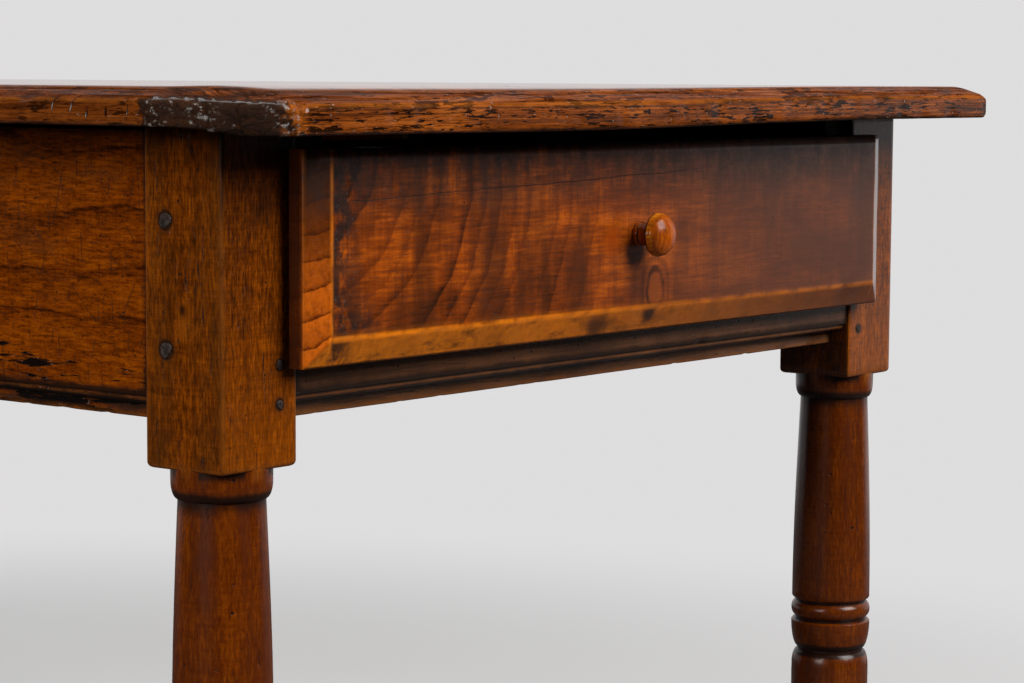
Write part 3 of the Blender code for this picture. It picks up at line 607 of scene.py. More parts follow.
@dataclass(frozen=True)
class Chipped(Mark):
    """Rough, glossy broken wood, where the mesh says that the edge is battered, with painted glints and a painted
    orange highlight.
    """

    colour: Colour
    stain: Colour = (0.04, 0.015, 0.006)
    copper: Colour = (0.33, 0.08, 0.006)
    glint: Colour = (0.3, 0.27, 0.25)
    relief: float = 0.0026

    def lay(self, surface: Surface) -> None:
        """Darken and roughen the battered edge, and paint glints and an orange highlight on it.

        Args:
            surface: the surface to mark.
        """
        coarse = surface.noise((150, 150, 230), 4, 0.62, 1.3)
        stain = surface.noise((70, 70, 110), 3, 0.6, 6.3).rise(0.46, 0.62)
        mask = (surface.attribute("battered") + (coarse - 0.5) * 1.7).rise(0.35, 0.65)
        surface.tint(mask * 0.97, self.colour)
        surface.tint(mask * stain * 0.6, self.stain)
        # Painted highlight: an orange glow beside the corner's right arris.
        copper = surface.attribute("copper") * surface.noise(110, 2, 0.6, 3.3).rise(0.4, 0.56)
        surface.tint(copper * 0.7, self.copper)
        surface.height = surface.height + mask * coarse * self.relief
        surface.roughen(mask, -0.06)
        # Painted glints: pale specks over the battered edge and at the glint spots.
        glint = surface.attribute("glint")
        specks = surface.noise((230, 230, 300), 4, 0.65, 8.1)
        patches = surface.noise((48, 48, 60), 2, 0.5, 4.1).rise(0.46, 0.6) * 0.6
        bright = (specks + glint * 0.04).rise(0.56, 0.7) * patches.most(glint)
        surface.tint(mask.most(copper) * bright * 0.75, self.glint)
        waxed = surface.coat * (1.0 - mask) + mask * coarse * 0.35
        surface.coat = waxed * (1.0 - surface.attribute("arris") * 0.96)


@dataclass(frozen=True)
class WeatheredEdge(Mark):
    """Ridges, dark dashes and pits along the top's edge, painted glints beside them, and a high polish on its face.
    """

    colour: Colour
    shift: float
    ridge: Colour = (0.03, 0.0085, 0.0026)
    glint: Colour = (0.34, 0.29, 0.25)
    ridge_height: float = 0.0004
    pit_depth: float = 0.0009

    def lay(self, surface: Surface) -> None:
        """Gate stretched noise by the rim, sink what passes, and polish what lies inside the rim.

        Args:
            surface: the surface to mark.
        """
        rim, slope = surface.attribute("rim"), surface.attribute("slope")
        ridges = surface.figure((11, 330), 4, 0.6, self.shift + 2.0)
        dashes = surface.figure((75, 400), 3, 0.62, self.shift)
        spots = surface.figure((26, 50), 3, 0.6, self.shift + 5.0)
        broken = dashes + (spots - 0.5) * 0.7
        mask = broken.rise(0.575, 0.615) * rim
        surface.tint(ridges.rise(0.5, 0.66) * rim * 0.6, self.ridge)
        surface.tint(mask * 0.95, self.colour)
        relief = self.ridge_height * ridges - self.pit_depth * mask
        surface.height = surface.height * (rim * 0.9 + 0.1) + rim * relief
        # Painted glints: pale specks beside the dark dashes along the rim.
        specks = surface.noise((260, 260, 340), 2, 0.6, self.shift + 8.0).rise(0.63, 0.69)
        surface.tint(specks * broken.rise(0.5, 0.575) * rim * (1.0 - mask) * 0.75, self.glint)
        edge = (rim - slope).rise(0.0, 1.0)
        surface.coat = (1.0 - rim).most(edge * 0.5).most(slope * ridges.fall(0.42, 0.58) * 0.2)


@dataclass(frozen=True)
class Stain(Mark):
    """A colour laid where the mesh says so: the wood's own tone on most pieces, and painted shade on the top of the
    drawer's left bevel.
    """

    where: str
    colour: Colour
    amount: float

    def lay(self, surface: Surface) -> None:
        """Blend the colour in by the attribute, a little unevenly."""
        uneven = surface.noise(40, 3, 0.6, 5.0) * 0.8 + 0.6
        surface.tint((surface.attribute(self.where) * uneven).least(1.0) * self.amount, self.colour)


@dataclass(frozen=True)
class Planed(Mark):
    """A planed bevel that cuts across the figure, brighter than the field, where the mesh says that it is."""

    where: str
    pale: Colour
    dark: Colour
    pitch: float
    slant: float
    lines: float = 1.0

    def lay(self, surface: Surface) -> None:
        """Blend the bevel's own colour in, with slanted lines where it cuts the rings.

        Args:
            surface: the surface to mark.
        """
        first, second = surface.plane(Face.END)
        sway = surface.noise(40, 3, 0.6, 1.0)
        turn = ((second + first * self.slant) * self.pitch + sway * 0.7).fract()
        lines = ((1.0 - turn) ** 1.5 * 0.5 + turn.fall(0.02, 0.2) * 0.34) * self.lines
        fine = surface.noise((300, 300, 190), 4, 0.68, 2.0).rise(0.38, 0.74)
        colour = surface.tree.blend((lines + fine * 0.45).least(1.0), self.pale, self.dark)
        surface.tint(surface.attribute(self.where) * 0.9, colour)


@dataclass(frozen=True)
class Decay(Mark):
    """Ragged cracks that worm and damp have opened along the grain, with glints on their lips."""

    face: Face
    band: Pair
    shift: float
    fade: Pair = (0.006, 0.022)
    lip: Colour = (0.02, 0.0075, 0.003)
    hollow: Colour = (0.0035, 0.0024, 0.002)
    glint: Colour = (0.3, 0.28, 0.27)
    depth: float = 0.001

    def lay(self, surface: Surface) -> None:
        """Open cracks inside a band of height, and scatter glints along them.

        Args:
            surface: the surface to mark.
        """
        _, height = surface.plane(self.face)
        low, high = self.band
        inside = height.rise(low, low + self.fade[0]) * height.fall(high - self.fade[1], high)
        ragged = surface.figure((24, 190), 4, 0.62, self.shift)
        patch = surface.figure((9, 34), 2, 0.5, self.shift + 6.0)
        depth = ragged + (patch - 0.5) * 0.8 + (inside - 1.0) * 0.7
        crack, lip = depth.rise(0.572, 0.6), depth.rise(0.532, 0.572)
        surface.tint(lip * 0.75, self.lip)
        surface.tint(crack * 0.97, self.hollow)
        surface.sink(crack, self.depth)
        specks = surface.noise(420, 2, 0.6, self.shift + 2.0).rise(0.64, 0.7)
        surface.tint(specks * lip * (1.0 - crack) * 0.75, self.glint)


@dataclass(frozen=True)
class Polish(Mark):
    """A waxed sheen where the mesh says that hands have polished the wood."""

    amount: float
    where: str

    def lay(self, surface: Surface) -> None:
        """Add to the coat."""
        surface.coat = surface.coat + surface.attribute(self.where) * self.amount


@dataclass(frozen=True)
class PegShade(Mark):
    """The dark joint round each peg that comes through a flat face."""

    face: Face
    centres: tuple[Pair, ...]
    radius: float
    colour: Colour = (0.01, 0.006, 0.004)
    gap: Pair = (0.0004, 0.0014)
    halo: float = 0.006

    def lay(self, surface: Surface) -> None:
        """Draw a thin dark ring and a faint halo round each centre.

        Args:
            surface: the surface to mark.
        """
        first, second = surface.plane(self.face)
        for centre in self.centres:
            reach = (first - centre[0]).hypot(second - centre[1]) - self.radius
            surface.tint(reach.fall(*self.gap).most(reach.fall(0.0, self.halo) * 0.35) * 0.85, self.colour)


@dataclass(frozen=True)
class Wood:
    """One kind of wood in the table: its tones as linear colours, its figure and its polish."""

    light: Colour
    middle: Colour
    dark: Colour
    ring_pitch: float = 0.009
    ring_depth: float = 0.5
    ring_edge: float = 2.6
    fibre: Pair = (14.0, 380.0)
    fibre_depth: float = 1.1
    hatch_depth: float = 0.0
    streak_depth: float = 0.8
    blotch_depth: float = 0.9
    pore_depth: float = 0.6
    fleck_depth: float = 0.35
    roughness: float = 0.36
    coat: float = 0.25
    coat_roughness: float = 0.16
    relief: float = 1.0
    specular: float = 0.5


@dataclass(frozen=True)
class Cut:
    """How a piece was cut from its log: the grain's axis and where the pith lies beside it.

    The pith is given across and through the grain, from the object's origin, and lean is how far it
    drifts for each metre along the grain. A crosswise pith lies square to the drawer end instead, and
    its rings fade out along the grain. A carried grain is read from the mesh. Sway is how the rings
    wander: how fast along and across the grain, and how far in rings.
    """

    grain: Grain
    pith: Pair
    lean: Pair
    seed: float
    carried: bool = False
    crosswise: bool = False
    fade: Pair | None = None
    sway: Triple = (1.6, 7.0, 4.0)


@dataclass(frozen=True)
class WoodMaterial:
    """Builds the node material of one piece from its wood, its cut and its marks."""

    wood: Wood
    cut: Cut
    marks: Sequence[Mark]
    figure_middle: float = 0.36
    light_band: Pair = (0.0, 0.48)
    dark_band: Pair = (0.34, 0.86)
    pore_tone: float = 0.45
    fibre_height: float = 0.000012
    streak_height: float = 0.00005
    wave_height: float = 0.0002

    def build(self, name: str) -> Material:
        """Return the finished material.

        Args:
            name: the material's name.

        Returns:
            A node material that reads object coordinates, or the grain that the mesh carries.
        """
        material = bpy.data.materials.new(name)
        tree = emptied(material)
        surface = self.bare(tree)
        for mark in self.marks:
            mark.lay(surface)
        bump = tree.node("ShaderNodeBump", None, {"Strength": 1.0, "Distance": 1.0, "Height": surface.height})
        inputs = {
            "Base Color": surface.colour,
            "Roughness": surface.roughness,
            "Coat Weight": surface.coat,
            "Coat Roughness": self.wood.coat_roughness,
            "Specular IOR Level": self.wood.specular,
            "Normal": bump,
        }
        shader = tree.node("ShaderNodeBsdfPrincipled", None, inputs)
        tree.node("ShaderNodeOutputMaterial", None, {"Surface": shader})
        return material

    def grain(self, tree: Tree, point: Wire) -> Wire:
        """Find the grain's coordinates.

        Args:
            tree: the material's tree.
            point: the object's coordinates.

        Returns:
            Along, across and through the grain.
        """
        if self.cut.carried:
            return tree.node("ShaderNodeAttribute", {"attribute_name": "grain"}, None, "Vector")
        axes = tree.parts(point)
        return tree.joined(*(axes[name] for name in self.cut.grain.value))

    def rings(self, tree: Tree, grain: Wire) -> Wire:
        """Lay the growth rings.

        Args:
            tree: the material's tree.
            grain: the grain's coordinates.

        Returns:
            0 in early wood, rising to 1 at each ring's late edge.
        """
        cut, pitch = self.cut, self.wood.ring_pitch
        axes = tree.parts(grain)
        sway = tree.noise(grain, cut.sway[:2], 2, 0.5, cut.seed) - 0.5
        ripple = tree.noise(grain, (9, 45), 2, 0.5, cut.seed + 4.0) - 0.5
        if cut.crosswise:
            across, through = axes["X"] - cut.pith[0], axes["Z"] - cut.pith[1]
        else:
            across = axes["Y"] - cut.pith[0] + axes["X"] * cut.lean[0]
            through = axes["Z"] - cut.pith[1] + axes["X"] * cut.lean[1]
        reach = across.hypot(through)
        count = (reach + sway * (pitch * cut.sway[2]) + ripple * (pitch * 0.5)) / pitch
        turn = count.fract()
        edge = (turn ** self.wood.ring_edge).least((1.0 - turn) * 8.0)
        inputs = {"W": count.floor() * 3.7 + cut.seed, "Scale": 1.0, "Detail": 0.0}
        vary = tree.node("ShaderNodeTexNoise", {"noise_dimensions": "1D"}, inputs)
        rings = edge * vary.rise(0.25, 0.7)
        return rings * (axes["X"].fall(*cut.fade) * 0.88 + 0.12) if cut.fade else rings

    def bare(self, tree: Tree) -> Surface:
        """Lay the bare wood: rings, fibres, streaks, blotches and pores.

        Args:
            tree: the material's tree.

        Returns:
            The surface before any marks.
        """
        wood, seed = self.wood, self.cut.seed
        point = tree.node("ShaderNodeTexCoord", None, None, "Object")
        grain = self.grain(tree, point)
        rings = self.rings(tree, grain)
        fibres = tree.noise(grain, wood.fibre, 5, 0.7, seed + 1.0)
        streaks = tree.noise(grain, (4, 75), 4, 0.62, seed + 2.0)
        blotch = tree.noise(grain, (9, 24), 5, 0.65, seed + 3.0)
        figure = (rings * wood.ring_depth + (fibres - 0.5) * wood.fibre_depth + (streaks - 0.5) * wood.streak_depth
                  + (blotch - 0.5) * wood.blotch_depth + self.figure_middle)
        if wood.hatch_depth > 0.0:
            figure = figure + (tree.noise(grain, (430, 26), 4, 0.65, seed + 11.0) - 0.5) * wood.hatch_depth
        colour = tree.blend(figure.rise(*self.light_band), wood.light, wood.middle)
        colour = tree.blend(figure.rise(*self.dark_band), colour, wood.dark)
        pores = tree.noise(grain, (85, 780), 2, 0.6, seed + 5.0).rise(0.55, 0.66)
        flecks = tree.noise(grain, (230, 430), 2, 0.6, seed + 9.0).rise(0.56, 0.7)
        deep = tuple(self.pore_tone * value for value in wood.dark)
        colour = tree.blend(pores * wood.pore_depth, colour, deep)
        colour = tree.blend(flecks * wood.fleck_depth, colour, deep)
        dull = tree.noise(point, 11, 3, 0.6, seed + 7.0) - 0.5
        roughness = wood.roughness + dull * 0.14 + pores * 0.12
        coat = wood.coat - dull * 0.2
        waves = tree.noise(grain, (14, 40), 2, 0.5, seed + 8.0)
        height = (fibres * self.fibre_height + streaks * self.streak_height + waves * self.wave_height
                  - pores * self.fibre_height) * wood.relief
        return Surface(tree, point, grain, colour, roughness, coat, height)


TOP_WOOD = Wood(
    (0.365, 0.096, 0.013), (0.16, 0.036, 0.005), (0.022, 0.0065, 0.002), ring_pitch=0.006, ring_depth=0.3,
    streak_depth=1.2, coat=0.06, roughness=0.26, coat_roughness=0.09, relief=1.2, specular=0.0)
LEG_WOOD = Wood(
    (0.275, 0.063, 0.0016), (0.118, 0.0242, 0.0006), (0.02, 0.0042, 0.0003), ring_pitch=0.006, ring_depth=0.08,
    fibre=(110.0, 560.0), fibre_depth=1.6, hatch_depth=0.5, streak_depth=0.55, blotch_depth=0.75, pore_depth=0.34,
    fleck_depth=0.5, roughness=0.24, coat=0.03, coat_roughness=0.24, specular=0.09)
APRON_WOOD = Wood(
    (0.28, 0.061, 0.0009), (0.155, 0.0285, 0.0005), (0.03, 0.0056, 0.0003), ring_pitch=0.036, ring_depth=0.5,
    ring_edge=5.0, fibre=(95.0, 560.0), fibre_depth=1.6, hatch_depth=0.3, streak_depth=0.3, blotch_depth=0.55,
    pore_depth=0.4, fleck_depth=0.6, roughness=0.24, coat=0.03, coat_roughness=0.12, specular=0.09)
RAIL_WOOD = Wood(
    (0.18, 0.07, 0.029), (0.1, 0.04, 0.0175), (0.028, 0.012, 0.0064), ring_pitch=0.007, ring_depth=0.2,
    fibre_depth=0.9, streak_depth=0.6, pore_depth=0.3, fleck_depth=0.2, roughness=0.26, coat=0.22,
    coat_roughness=0.12, specular=0.18)
FRONT_WOOD = Wood(
    (0.58, 0.118, 0.004), (0.2, 0.035, 0.0022), (0.026, 0.006, 0.0014), ring_pitch=0.015, ring_depth=0.38,
    ring_edge=2.2, fibre=(30.0, 420.0), fibre_depth=0.75, hatch_depth=0.3, streak_depth=0.35, blotch_depth=1.1,
    pore_depth=0.16, fleck_depth=0.24, roughness=0.25, coat=0.1, coat_roughness=0.12, specular=0.16, relief=0.5)
KNOB_WOOD = Wood(
    (0.47, 0.1, 0.004), (0.255, 0.046, 0.002), (0.055, 0.0105, 0.001), ring_pitch=0.003, ring_depth=0.16,
    fibre=(120.0, 500.0), fibre_depth=1.0, pore_depth=0.3, roughness=0.2, coat=0.16, coat_roughness=0.07,
    specular=0.1)
INNER_WOOD = Wood(
    (0.33, 0.19, 0.085), (0.22, 0.115, 0.048), (0.085, 0.042, 0.02), ring_pitch=0.008, roughness=0.62, coat=0.0,
    specular=0.25)
# Painted shade: the bearers are near-black so that the gap over the drawer reads as shade.
SHADE_DARK_BEARER_WOOD = Wood(
    (0.06, 0.034, 0.02), (0.034, 0.019, 0.011), (0.014, 0.008, 0.005), ring_pitch=0.008, roughness=0.65, coat=0.0,
    specular=0.2)
PEG_WOOD = Wood(
    (0.05, 0.029, 0.022), (0.02, 0.012, 0.01), (0.006, 0.004, 0.003), ring_pitch=0.0012, roughness=0.45,
    coat=0.0, specular=0.2)
RUBBED = RubbedAndHighlit((0.23, 0.064, 0.006), 0.55)
GRIME_AND_SHADE = GrimeAndShade((0.007, 0.003, 0.0018))
SCRATCHED = (0.03, 0.012, 0.005)


def plain_wood(node: str, grain: Grain, seed: float, wood: Wood) -> Material:
    """Return the bare, dry wood of a piece inside the table; the bearers' near-black tones are painted shade.

    Args:
        node: the piece's CAD node.
        grain: the way that its grain runs.
        seed: sets its figure apart.
        wood: what it is made of.

    Returns:
        The material.
    """
    marks = (ScuffsAndPaintedLight((6, 6, 9), 0.46, 0.74, (0.09, 0.048, 0.024), 0.7, shift=seed),
             Checks((7, 150), 0.01, 0.6, 0.0003, shift=seed))
    return WoodMaterial(wood, Cut(grain, (0.12, 0.31), (0.04, 0.03), seed), marks).build(f"{node}_wood")


def ramp(values: Array, low: float, high: float) -> Array:
    """Return a smooth step of an array, from 0 at low to 1 at high; low may be above high."""
    part = np.clip((values - low) / (high - low), 0.0, 1.0)
    return part * part * (3.0 - 2.0 * part)


def near(first: Array, second: Array, far: float, close: float) -> Array:
    """Return 1 where two distances at right angles span less than close, falling to 0 at far."""
    return ramp(np.hypot(first, second), far, close)


def positions(mesh: Mesh) -> Array:
    """Return where a mesh's points are.

    Args:
        mesh: the mesh.

    Returns:
        One row of X, Y and Z for each point.
    """
    flat = np.empty(len(mesh.vertices) * 3, np.float32)
    mesh.vertices.foreach_get("co", flat)
    return flat.reshape(-1, 3).astype(float)


def carry(mesh: Mesh, **values: Array) -> None:
    """Store numbers or vectors at each point of a mesh.

    Args:
        mesh: the mesh.
        values: attribute name to one number, or one row of three, for each point.
    """
    for name, rows in values.items():
        kind, key = ("FLOAT_VECTOR", "vector") if rows.ndim == 2 else ("FLOAT", "value")
        old = mesh.attributes.get(name)
        if old is not None:
            mesh.attributes.remove(old)
        made = mesh.attributes.new(name, kind, "POINT")
        made.data.foreach_set(key, rows.astype(np.float32).ravel())


def settle(mesh: Mesh, low: Vector, high: Vector) -> None:
    """Keep a mesh's points inside a box.

    Args:
        mesh: the mesh.
        low: the box's lower corner.
        high: its upper corner.
    """
    points = np.clip(positions(mesh), np.array(low), np.array(high))
    mesh.vertices.foreach_set("co", points.astype(np.float32).ravel())
    mesh.update()


def placed(name: str, data: ID) -> Object:
    """Add an object to the scene.

    Args:
        name: the object's name.
        data: its mesh, lamp or camera.

    Returns:
        The object.
    """
    made = bpy.data.objects.new(name, data)
    bpy.context.scene.collection.objects.link(made)
    return made


def meshed(shape: BMesh, name: str) -> Mesh:
    """Turn a shape into a mesh, and free the shape.

    Args:
        shape: the shape.
        name: the mesh's name.

    Returns:
        The mesh.
    """
    mesh = bpy.data.meshes.new(name)
    shape.to_mesh(mesh)
    shape.free()
    return mesh


def looped(items: Sequence) -> Iterable[tuple]:
    """Return each item with the next one, round a closed loop."""
    return zip(items, [*items[1:], items[0]])


def lofted(loops: Sequence[Sequence[Triple]]) -> BMesh:
    """Return a closed shape through loops of points.

    Args:
        loops: the loops from one end to the other, all with as many points.

    Returns:
        The shape, with a face over its first and last loop.
    """
    shape = bmesh.new()
    rings = [[shape.verts.new(point) for point in loop] for loop in loops]
    for lower, upper in zip(rings, rings[1:]):
        for (left, right), (above, beyond) in zip(looped(lower), looped(upper)):
            shape.faces.new((left, right, beyond, above))
    shape.faces.new(rings[-1])
    shape.faces.new(rings[0][::-1])
    return shape


def sawn(shape: BMesh, place: Triple, way: Triple) -> None:
    """Saw off what lies past a plane, and close the cut.

    Args:
        shape: the shape to cut.
        place: a point of the plane.
        way: the way that the waste lies.
    """
    everything = shape.verts[:] + shape.edges[:] + shape.faces[:]
    cut = bmesh.ops.bisect_plane(shape, geom=everything, plane_co=place, plane_no=way, clear_outer=True)
    rim = [item for item in cut["geom_cut"] if isinstance(item, BMEdge)]
    bmesh.ops.holes_fill(shape, edges=rim, sides=0)


def wire_object(name: str, points: Sequence[Triple], edges: Iterable[tuple[int, int]]) -> Object:
    """Make bare edges that a geometry tree can follow.

    Args:
        name: the object's name.
        points: where its points are.
        edges: the two points of each edge, by number.

    Returns:
        The object.
    """
    mesh = bpy.data.meshes.new(name)
    mesh.from_pydata([tuple(point) for point in points], list(edges), [])
    return placed(name, mesh)


def path_object(name: str, *runs: Sequence[Pair]) -> Object:
    """Return paths up the Z axis.

    Args:
        name: the object's name.
        runs: each path's stations, as height and girth; the girth scales the section there.

    Returns:
        A wire whose points carry their girth.
    """
    stations, edges = [], []
    for run in runs:
        first = len(stations)
        stations += run
        edges += [(index, index + 1) for index in range(first, len(stations) - 1)]
    made = wire_object(name, [(0.0, 0.0, height) for height, _ in stations], edges)
    carry(made.data, girth=np.array([girth for _, girth in stations]))
    return made


def section_object(name: str, outline: Sequence[Pair], edge: Sequence[float]) -> Object:
    """Return a closed section in the XY plane, turned anticlockwise.

    Args:
        name: the object's name.
        outline: the section's points.
        edge: how exposed each point is, from 0 on a face to 1 on an arris.

    Returns:
        A wire loop whose points carry how exposed they are.
    """
    pairs = list(zip(outline, edge))
    if sum(a[0] * b[1] - b[0] * a[1] for a, b in looped(outline)) < 0.0:
        pairs.reverse()
    made = wire_object(name, [(*pair, 0.0) for pair, _ in pairs], looped(range(len(pairs))))
    carry(made.data, arris=np.array([value for _, value in pairs]))
    return made


def discard(*objects: Object) -> None:
    """Remove helper objects and their meshes.

    Args:
        objects: the helpers.
    """
    for item in objects:
        mesh = item.data
        bpy.data.objects.remove(item, do_unlink=True)
        bpy.data.meshes.remove(mesh)


def between(start: Pair, end: Pair, share: float) -> Pair:
    """Return the point at a share of the way from start to end."""
    return start[0] + (end[0] - start[0]) * share, start[1] + (end[1] - start[1]) * share


def arc(centre: Pair, reach: Pair, start: float, end: float, steps: int) -> list[Pair]:
    """Return points along an elliptical arc, start and end in degrees."""
    angles = [math.radians(start + (end - start) * step / steps) for step in range(steps + 1)]
    return [(centre[0] + reach[0] * math.cos(a), centre[1] + reach[1] * math.sin(a)) for a in angles]


def spread(start: float, end: float, spacing: float) -> list[float]:
    """Return values from start to end, both included, about a spacing apart."""
    count = max(1, round(abs(end - start) / spacing))
    return [start + (end - start) * step / count for step in range(count + 1)]


def straight_path(node: str, span: float, spacing: float) -> Object:
    """Return a path of even girth, from -span to span, with stations about a spacing apart."""
    return path_object(node + "_path", [(place, 1.0) for place in spread(-span, span, spacing)])


def densified(outline: Sequence[Pair], spacing: float) -> list[Pair]:
    """Return a closed outline with points added along its sides, at most a spacing apart."""
    counts = [max(1, math.ceil(math.dist(*side) / spacing)) for side in looped(outline)]
    return [between(*side, step / count) for side, count in zip(looped(outline), counts) for step in range(count)]


def exposure(outline: Sequence[Pair], corners: Sequence[Pair], reach: float) -> list[float]:
    """Return how near each point of an outline is to the nearest corner, from 1 at it to 0 at a reach."""
    nearest = [min(math.dist(point, corner) for corner in corners) for point in outline]
    return [max(0.0, 1.0 - distance / reach) for distance in nearest]


def squared(half: Pair, radius: float, steps: int, spacing: float, reach: float) -> Section:
    """Return the section of a squared bar, anticlockwise.

    Args:
        half: half its width and half its height.
        radius: its arrises' radius.
        steps: sides to each arris.
        spacing: the most that two points may lie apart.
        reach: how far in from an arris a point is still exposed.

    Returns:
        The outline round the origin, and how exposed each point of it is.
    """
    wide, tall = half[0] - radius, half[1] - radius
    outline: list[Pair] = []
    for x, y, start in ((wide, tall, 0), (-wide, tall, 90), (-wide, -tall, 180), (wide, -tall, 270)):
        outline += arc((x, y), (radius, radius), start, start + 90, steps)
    dense = densified(outline, spacing)
    corners = [(x * half[0], y * half[1]) for x in (-1, 1) for y in (-1, 1)]
    return dense, exposure(dense, corners, reach)


def peg_centre(node: str, face: Face) -> Pair:
    """Find the centre of a CAD peg in the plane of a face.

    Args:
        node: the peg's node.
        face: the face that it comes through.

    Returns:
        The centre's two coordinates in that plane.
    """
    low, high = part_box(node)
    axes = dict(zip("XYZ", (low + high) / 2))
    return axes[face.value[0]], axes[face.value[1]]


class GeometryTree:
    """A geometry node tree with named inputs, and the means to run it once and keep a plain mesh."""

    worn_sockets: dict[str, str] = {"Ripple": "Float", "Chip Depth": "Float", "Chip Scale": "Float",
                                    "Seed": "Float", "Material": "Material"}
    ripples_per_metre: float = 26.0
    chip_band: Pair = (0.58, 0.76)

    def __init__(self, name: str, sockets: dict[str, str]) -> None:
        """Make the tree with a geometry input, the named inputs, those for wear and a geometry output.

        Args:
            name: the tree's name.
            sockets: input name to kind of socket.
        """
        self.group = bpy.data.node_groups.new(name, "GeometryNodeTree")
        face = self.group.interface
        face.new_socket("Geometry", in_out="INPUT", socket_type="NodeSocketGeometry")
        self.identifiers = {
            label: face.new_socket(label, in_out="INPUT", socket_type=f"NodeSocket{kind}").identifier
            for label, kind in {**sockets, **self.worn_sockets}.items()
        }
        face.new_socket("Geometry", in_out="OUTPUT", socket_type="NodeSocketGeometry")
        self.tree = Tree(self.group)
        self._inputs = self.group.nodes.new("NodeGroupInput")
        self._output = self.group.nodes.new("NodeGroupOutput")

    def input(self, label: str) -> Wire:
        """Return one of the tree's inputs."""
        return Wire(self.tree, self._inputs.outputs[label])

    def attribute(self, name: str, kind: str = "FLOAT") -> Wire:
        """Return a named attribute of the geometry."""
        return self.tree.node("GeometryNodeInputNamedAttribute", {"data_type": kind}, {"Name": name})

    def object(self, label: str) -> Wire:
        """Return the geometry of an object that is one of the tree's inputs."""
        return self.tree.node("GeometryNodeObjectInfo", None, {"Object": self.input(label)}, "Geometry")

    def close(self, geometry: Wire) -> None:
        """Wear what the tree made, realize it, give it its material and end the tree.

        Args:
            geometry: what the tree made.
        """
        real = self.tree.node("GeometryNodeRealizeInstances", None, {"Geometry": self.worn(geometry)})
        inputs = {"Geometry": real, "Material": self.input("Material")}
        done = self.tree.node("GeometryNodeSetMaterial", None, inputs)
        self.group.links.new(done.socket, self._output.inputs[0])

    def worn(self, geometry: Wire) -> Wire:
        """Press the surface in by broad ripples, and by chips along its arrises.

        Args:
            geometry: the sharp shape.

        Returns:
            The worn shape.
        """
        tree, seed = self.tree, self.input("Seed")
        place = tree.node("GeometryNodeInputPosition")
        shifted = tree.vector("ADD", {0: place, 1: tree.joined(seed, seed * 1.3, seed * 0.7)})
        inputs = {"Vector": shifted, "Scale": self.ripples_per_metre, "Detail": 2.0}
        ripple = tree.node("ShaderNodeTexNoise", None, inputs) * self.input("Ripple")
        inputs = {"Vector": shifted, "Scale": self.input("Chip Scale"), "Detail": 3.0, "Roughness": 0.6}
        chips = tree.node("ShaderNodeTexNoise", None, inputs).rise(*self.chip_band)
        press = ripple + chips * self.attribute("arris") * self.input("Chip Depth")
        inward = tree.vector("SCALE", {0: tree.node("GeometryNodeInputNormal"), "Scale": 0.0 - press})
        return tree.node("GeometryNodeSetPosition", None, {"Geometry": geometry, "Offset": inward})

    def run(self, base: Object, values: dict[str, object]) -> Mesh:
        """Run the tree on an object and keep the result.

        Args:
            base: the object whose geometry goes in.
            values: input name to value.

        Returns:
            A new mesh; the base object is left without the modifier.
        """
        modifier = base.modifiers.new(self.group.name, "NODES")
        modifier.node_group = self.group
        for label, value in values.items():
            modifier[self.identifiers[label]] = value
        graph = bpy.context.evaluated_depsgraph_get()
        made = bpy.data.meshes.new_from_object(base.evaluated_get(graph), preserve_all_data_layers=True,
                                               depsgraph=graph)
        base.modifiers.remove(modifier)
        return made


@dataclass(frozen=True)
class Wear:
    """How worn a piece's surface is: depth of ripples and chips, chips to the metre, and a seed."""

    ripple: float
    chip: float
    scale: float
    seed: float

    def values(self, material: Material) -> dict[str, object]:
        """Return these as inputs of a tree, with the piece's material."""
        return dict(zip(GeometryTree.worn_sockets, (self.ripple, self.chip, self.scale, self.seed, material)))


class SweepTree(GeometryTree):
    """Sweeps a section up a path, scaled by the path's girth, and wears it."""

    def __init__(self) -> None:
        """Build the tree."""
        super().__init__("worn_sweep", {"Section": "Object"})
        self.close(self.swept(self.input("Geometry"), self.outline()))

    def outline(self) -> Wire:
        """Return the section's outline as a curve."""
        return self.tree.node("GeometryNodeMeshToCurve", None, {"Mesh": self.object("Section")})

    def swept(self, wire: Wire, outline: Wire) -> Wire:
        """Sweep an outline along a wire, and close both ends.

        Args:
            wire: the path, as bare edges.
            outline: the section, as a curve.

        Returns:
            The swept shape.
        """
        path = self.tree.node("GeometryNodeMeshToCurve", None, {"Mesh": wire})
        inputs = {"Curve": path, "Profile Curve": outline, "Scale": self.attribute("girth"), "Fill Caps": True}
        return self.tree.node("GeometryNodeCurveToMesh", None, inputs)

    def make(self, path: Object, section: Section, wear: Wear, material: Material, **sizes: int) -> Mesh:
        """Sweep a section up a path, and discard the path.

        Args:
            path: the wire that path_object() makes.
            section: the section's points, and how exposed each is.
            wear: how worn the piece is.
            material: what it is made of.
            sizes: other inputs of the tree.

        Returns:
            The swept mesh, standing on the Z axis.
        """
        shape = section_object(path.name + "_section", *section)
        mesh = self.run(path, {"Section": shape, **sizes, **wear.values(material)})
        discard(path, shape)
        return mesh


class LegTree(SweepTree):
    """Joins a leg's turned lengths with its square blocks into one closed shape, and wears it."""

    def __init__(self) -> None:
        """Build the tree."""
        GeometryTree.__init__(self, "turned_leg", {"Section": "Object", "Sides": "Int"})
        tree = self.tree
        inputs = {"Geometry": self.input("Geometry"), "Selection": self.attribute("square", "BOOLEAN")}
        square = tree.node("GeometryNodeSeparateGeometry", {"domain": "POINT"}, inputs)
        inputs = {"Resolution": self.input("Sides"), "Radius": 1.0}
        circle = tree.node("GeometryNodeCurvePrimitiveCircle", None, inputs)
        union = tree.node("GeometryNodeMeshBoolean", {"operation": "UNION", "solver": "EXACT"})
        target = next(socket for socket in union.socket.node.inputs if socket.is_multi_input)
        for wire, outline in ((square, self.outline()), (tree.other(square, "Inverted"), circle)):
            self.group.links.new(self.swept(wire, outline).socket, target)
        self.close(union)


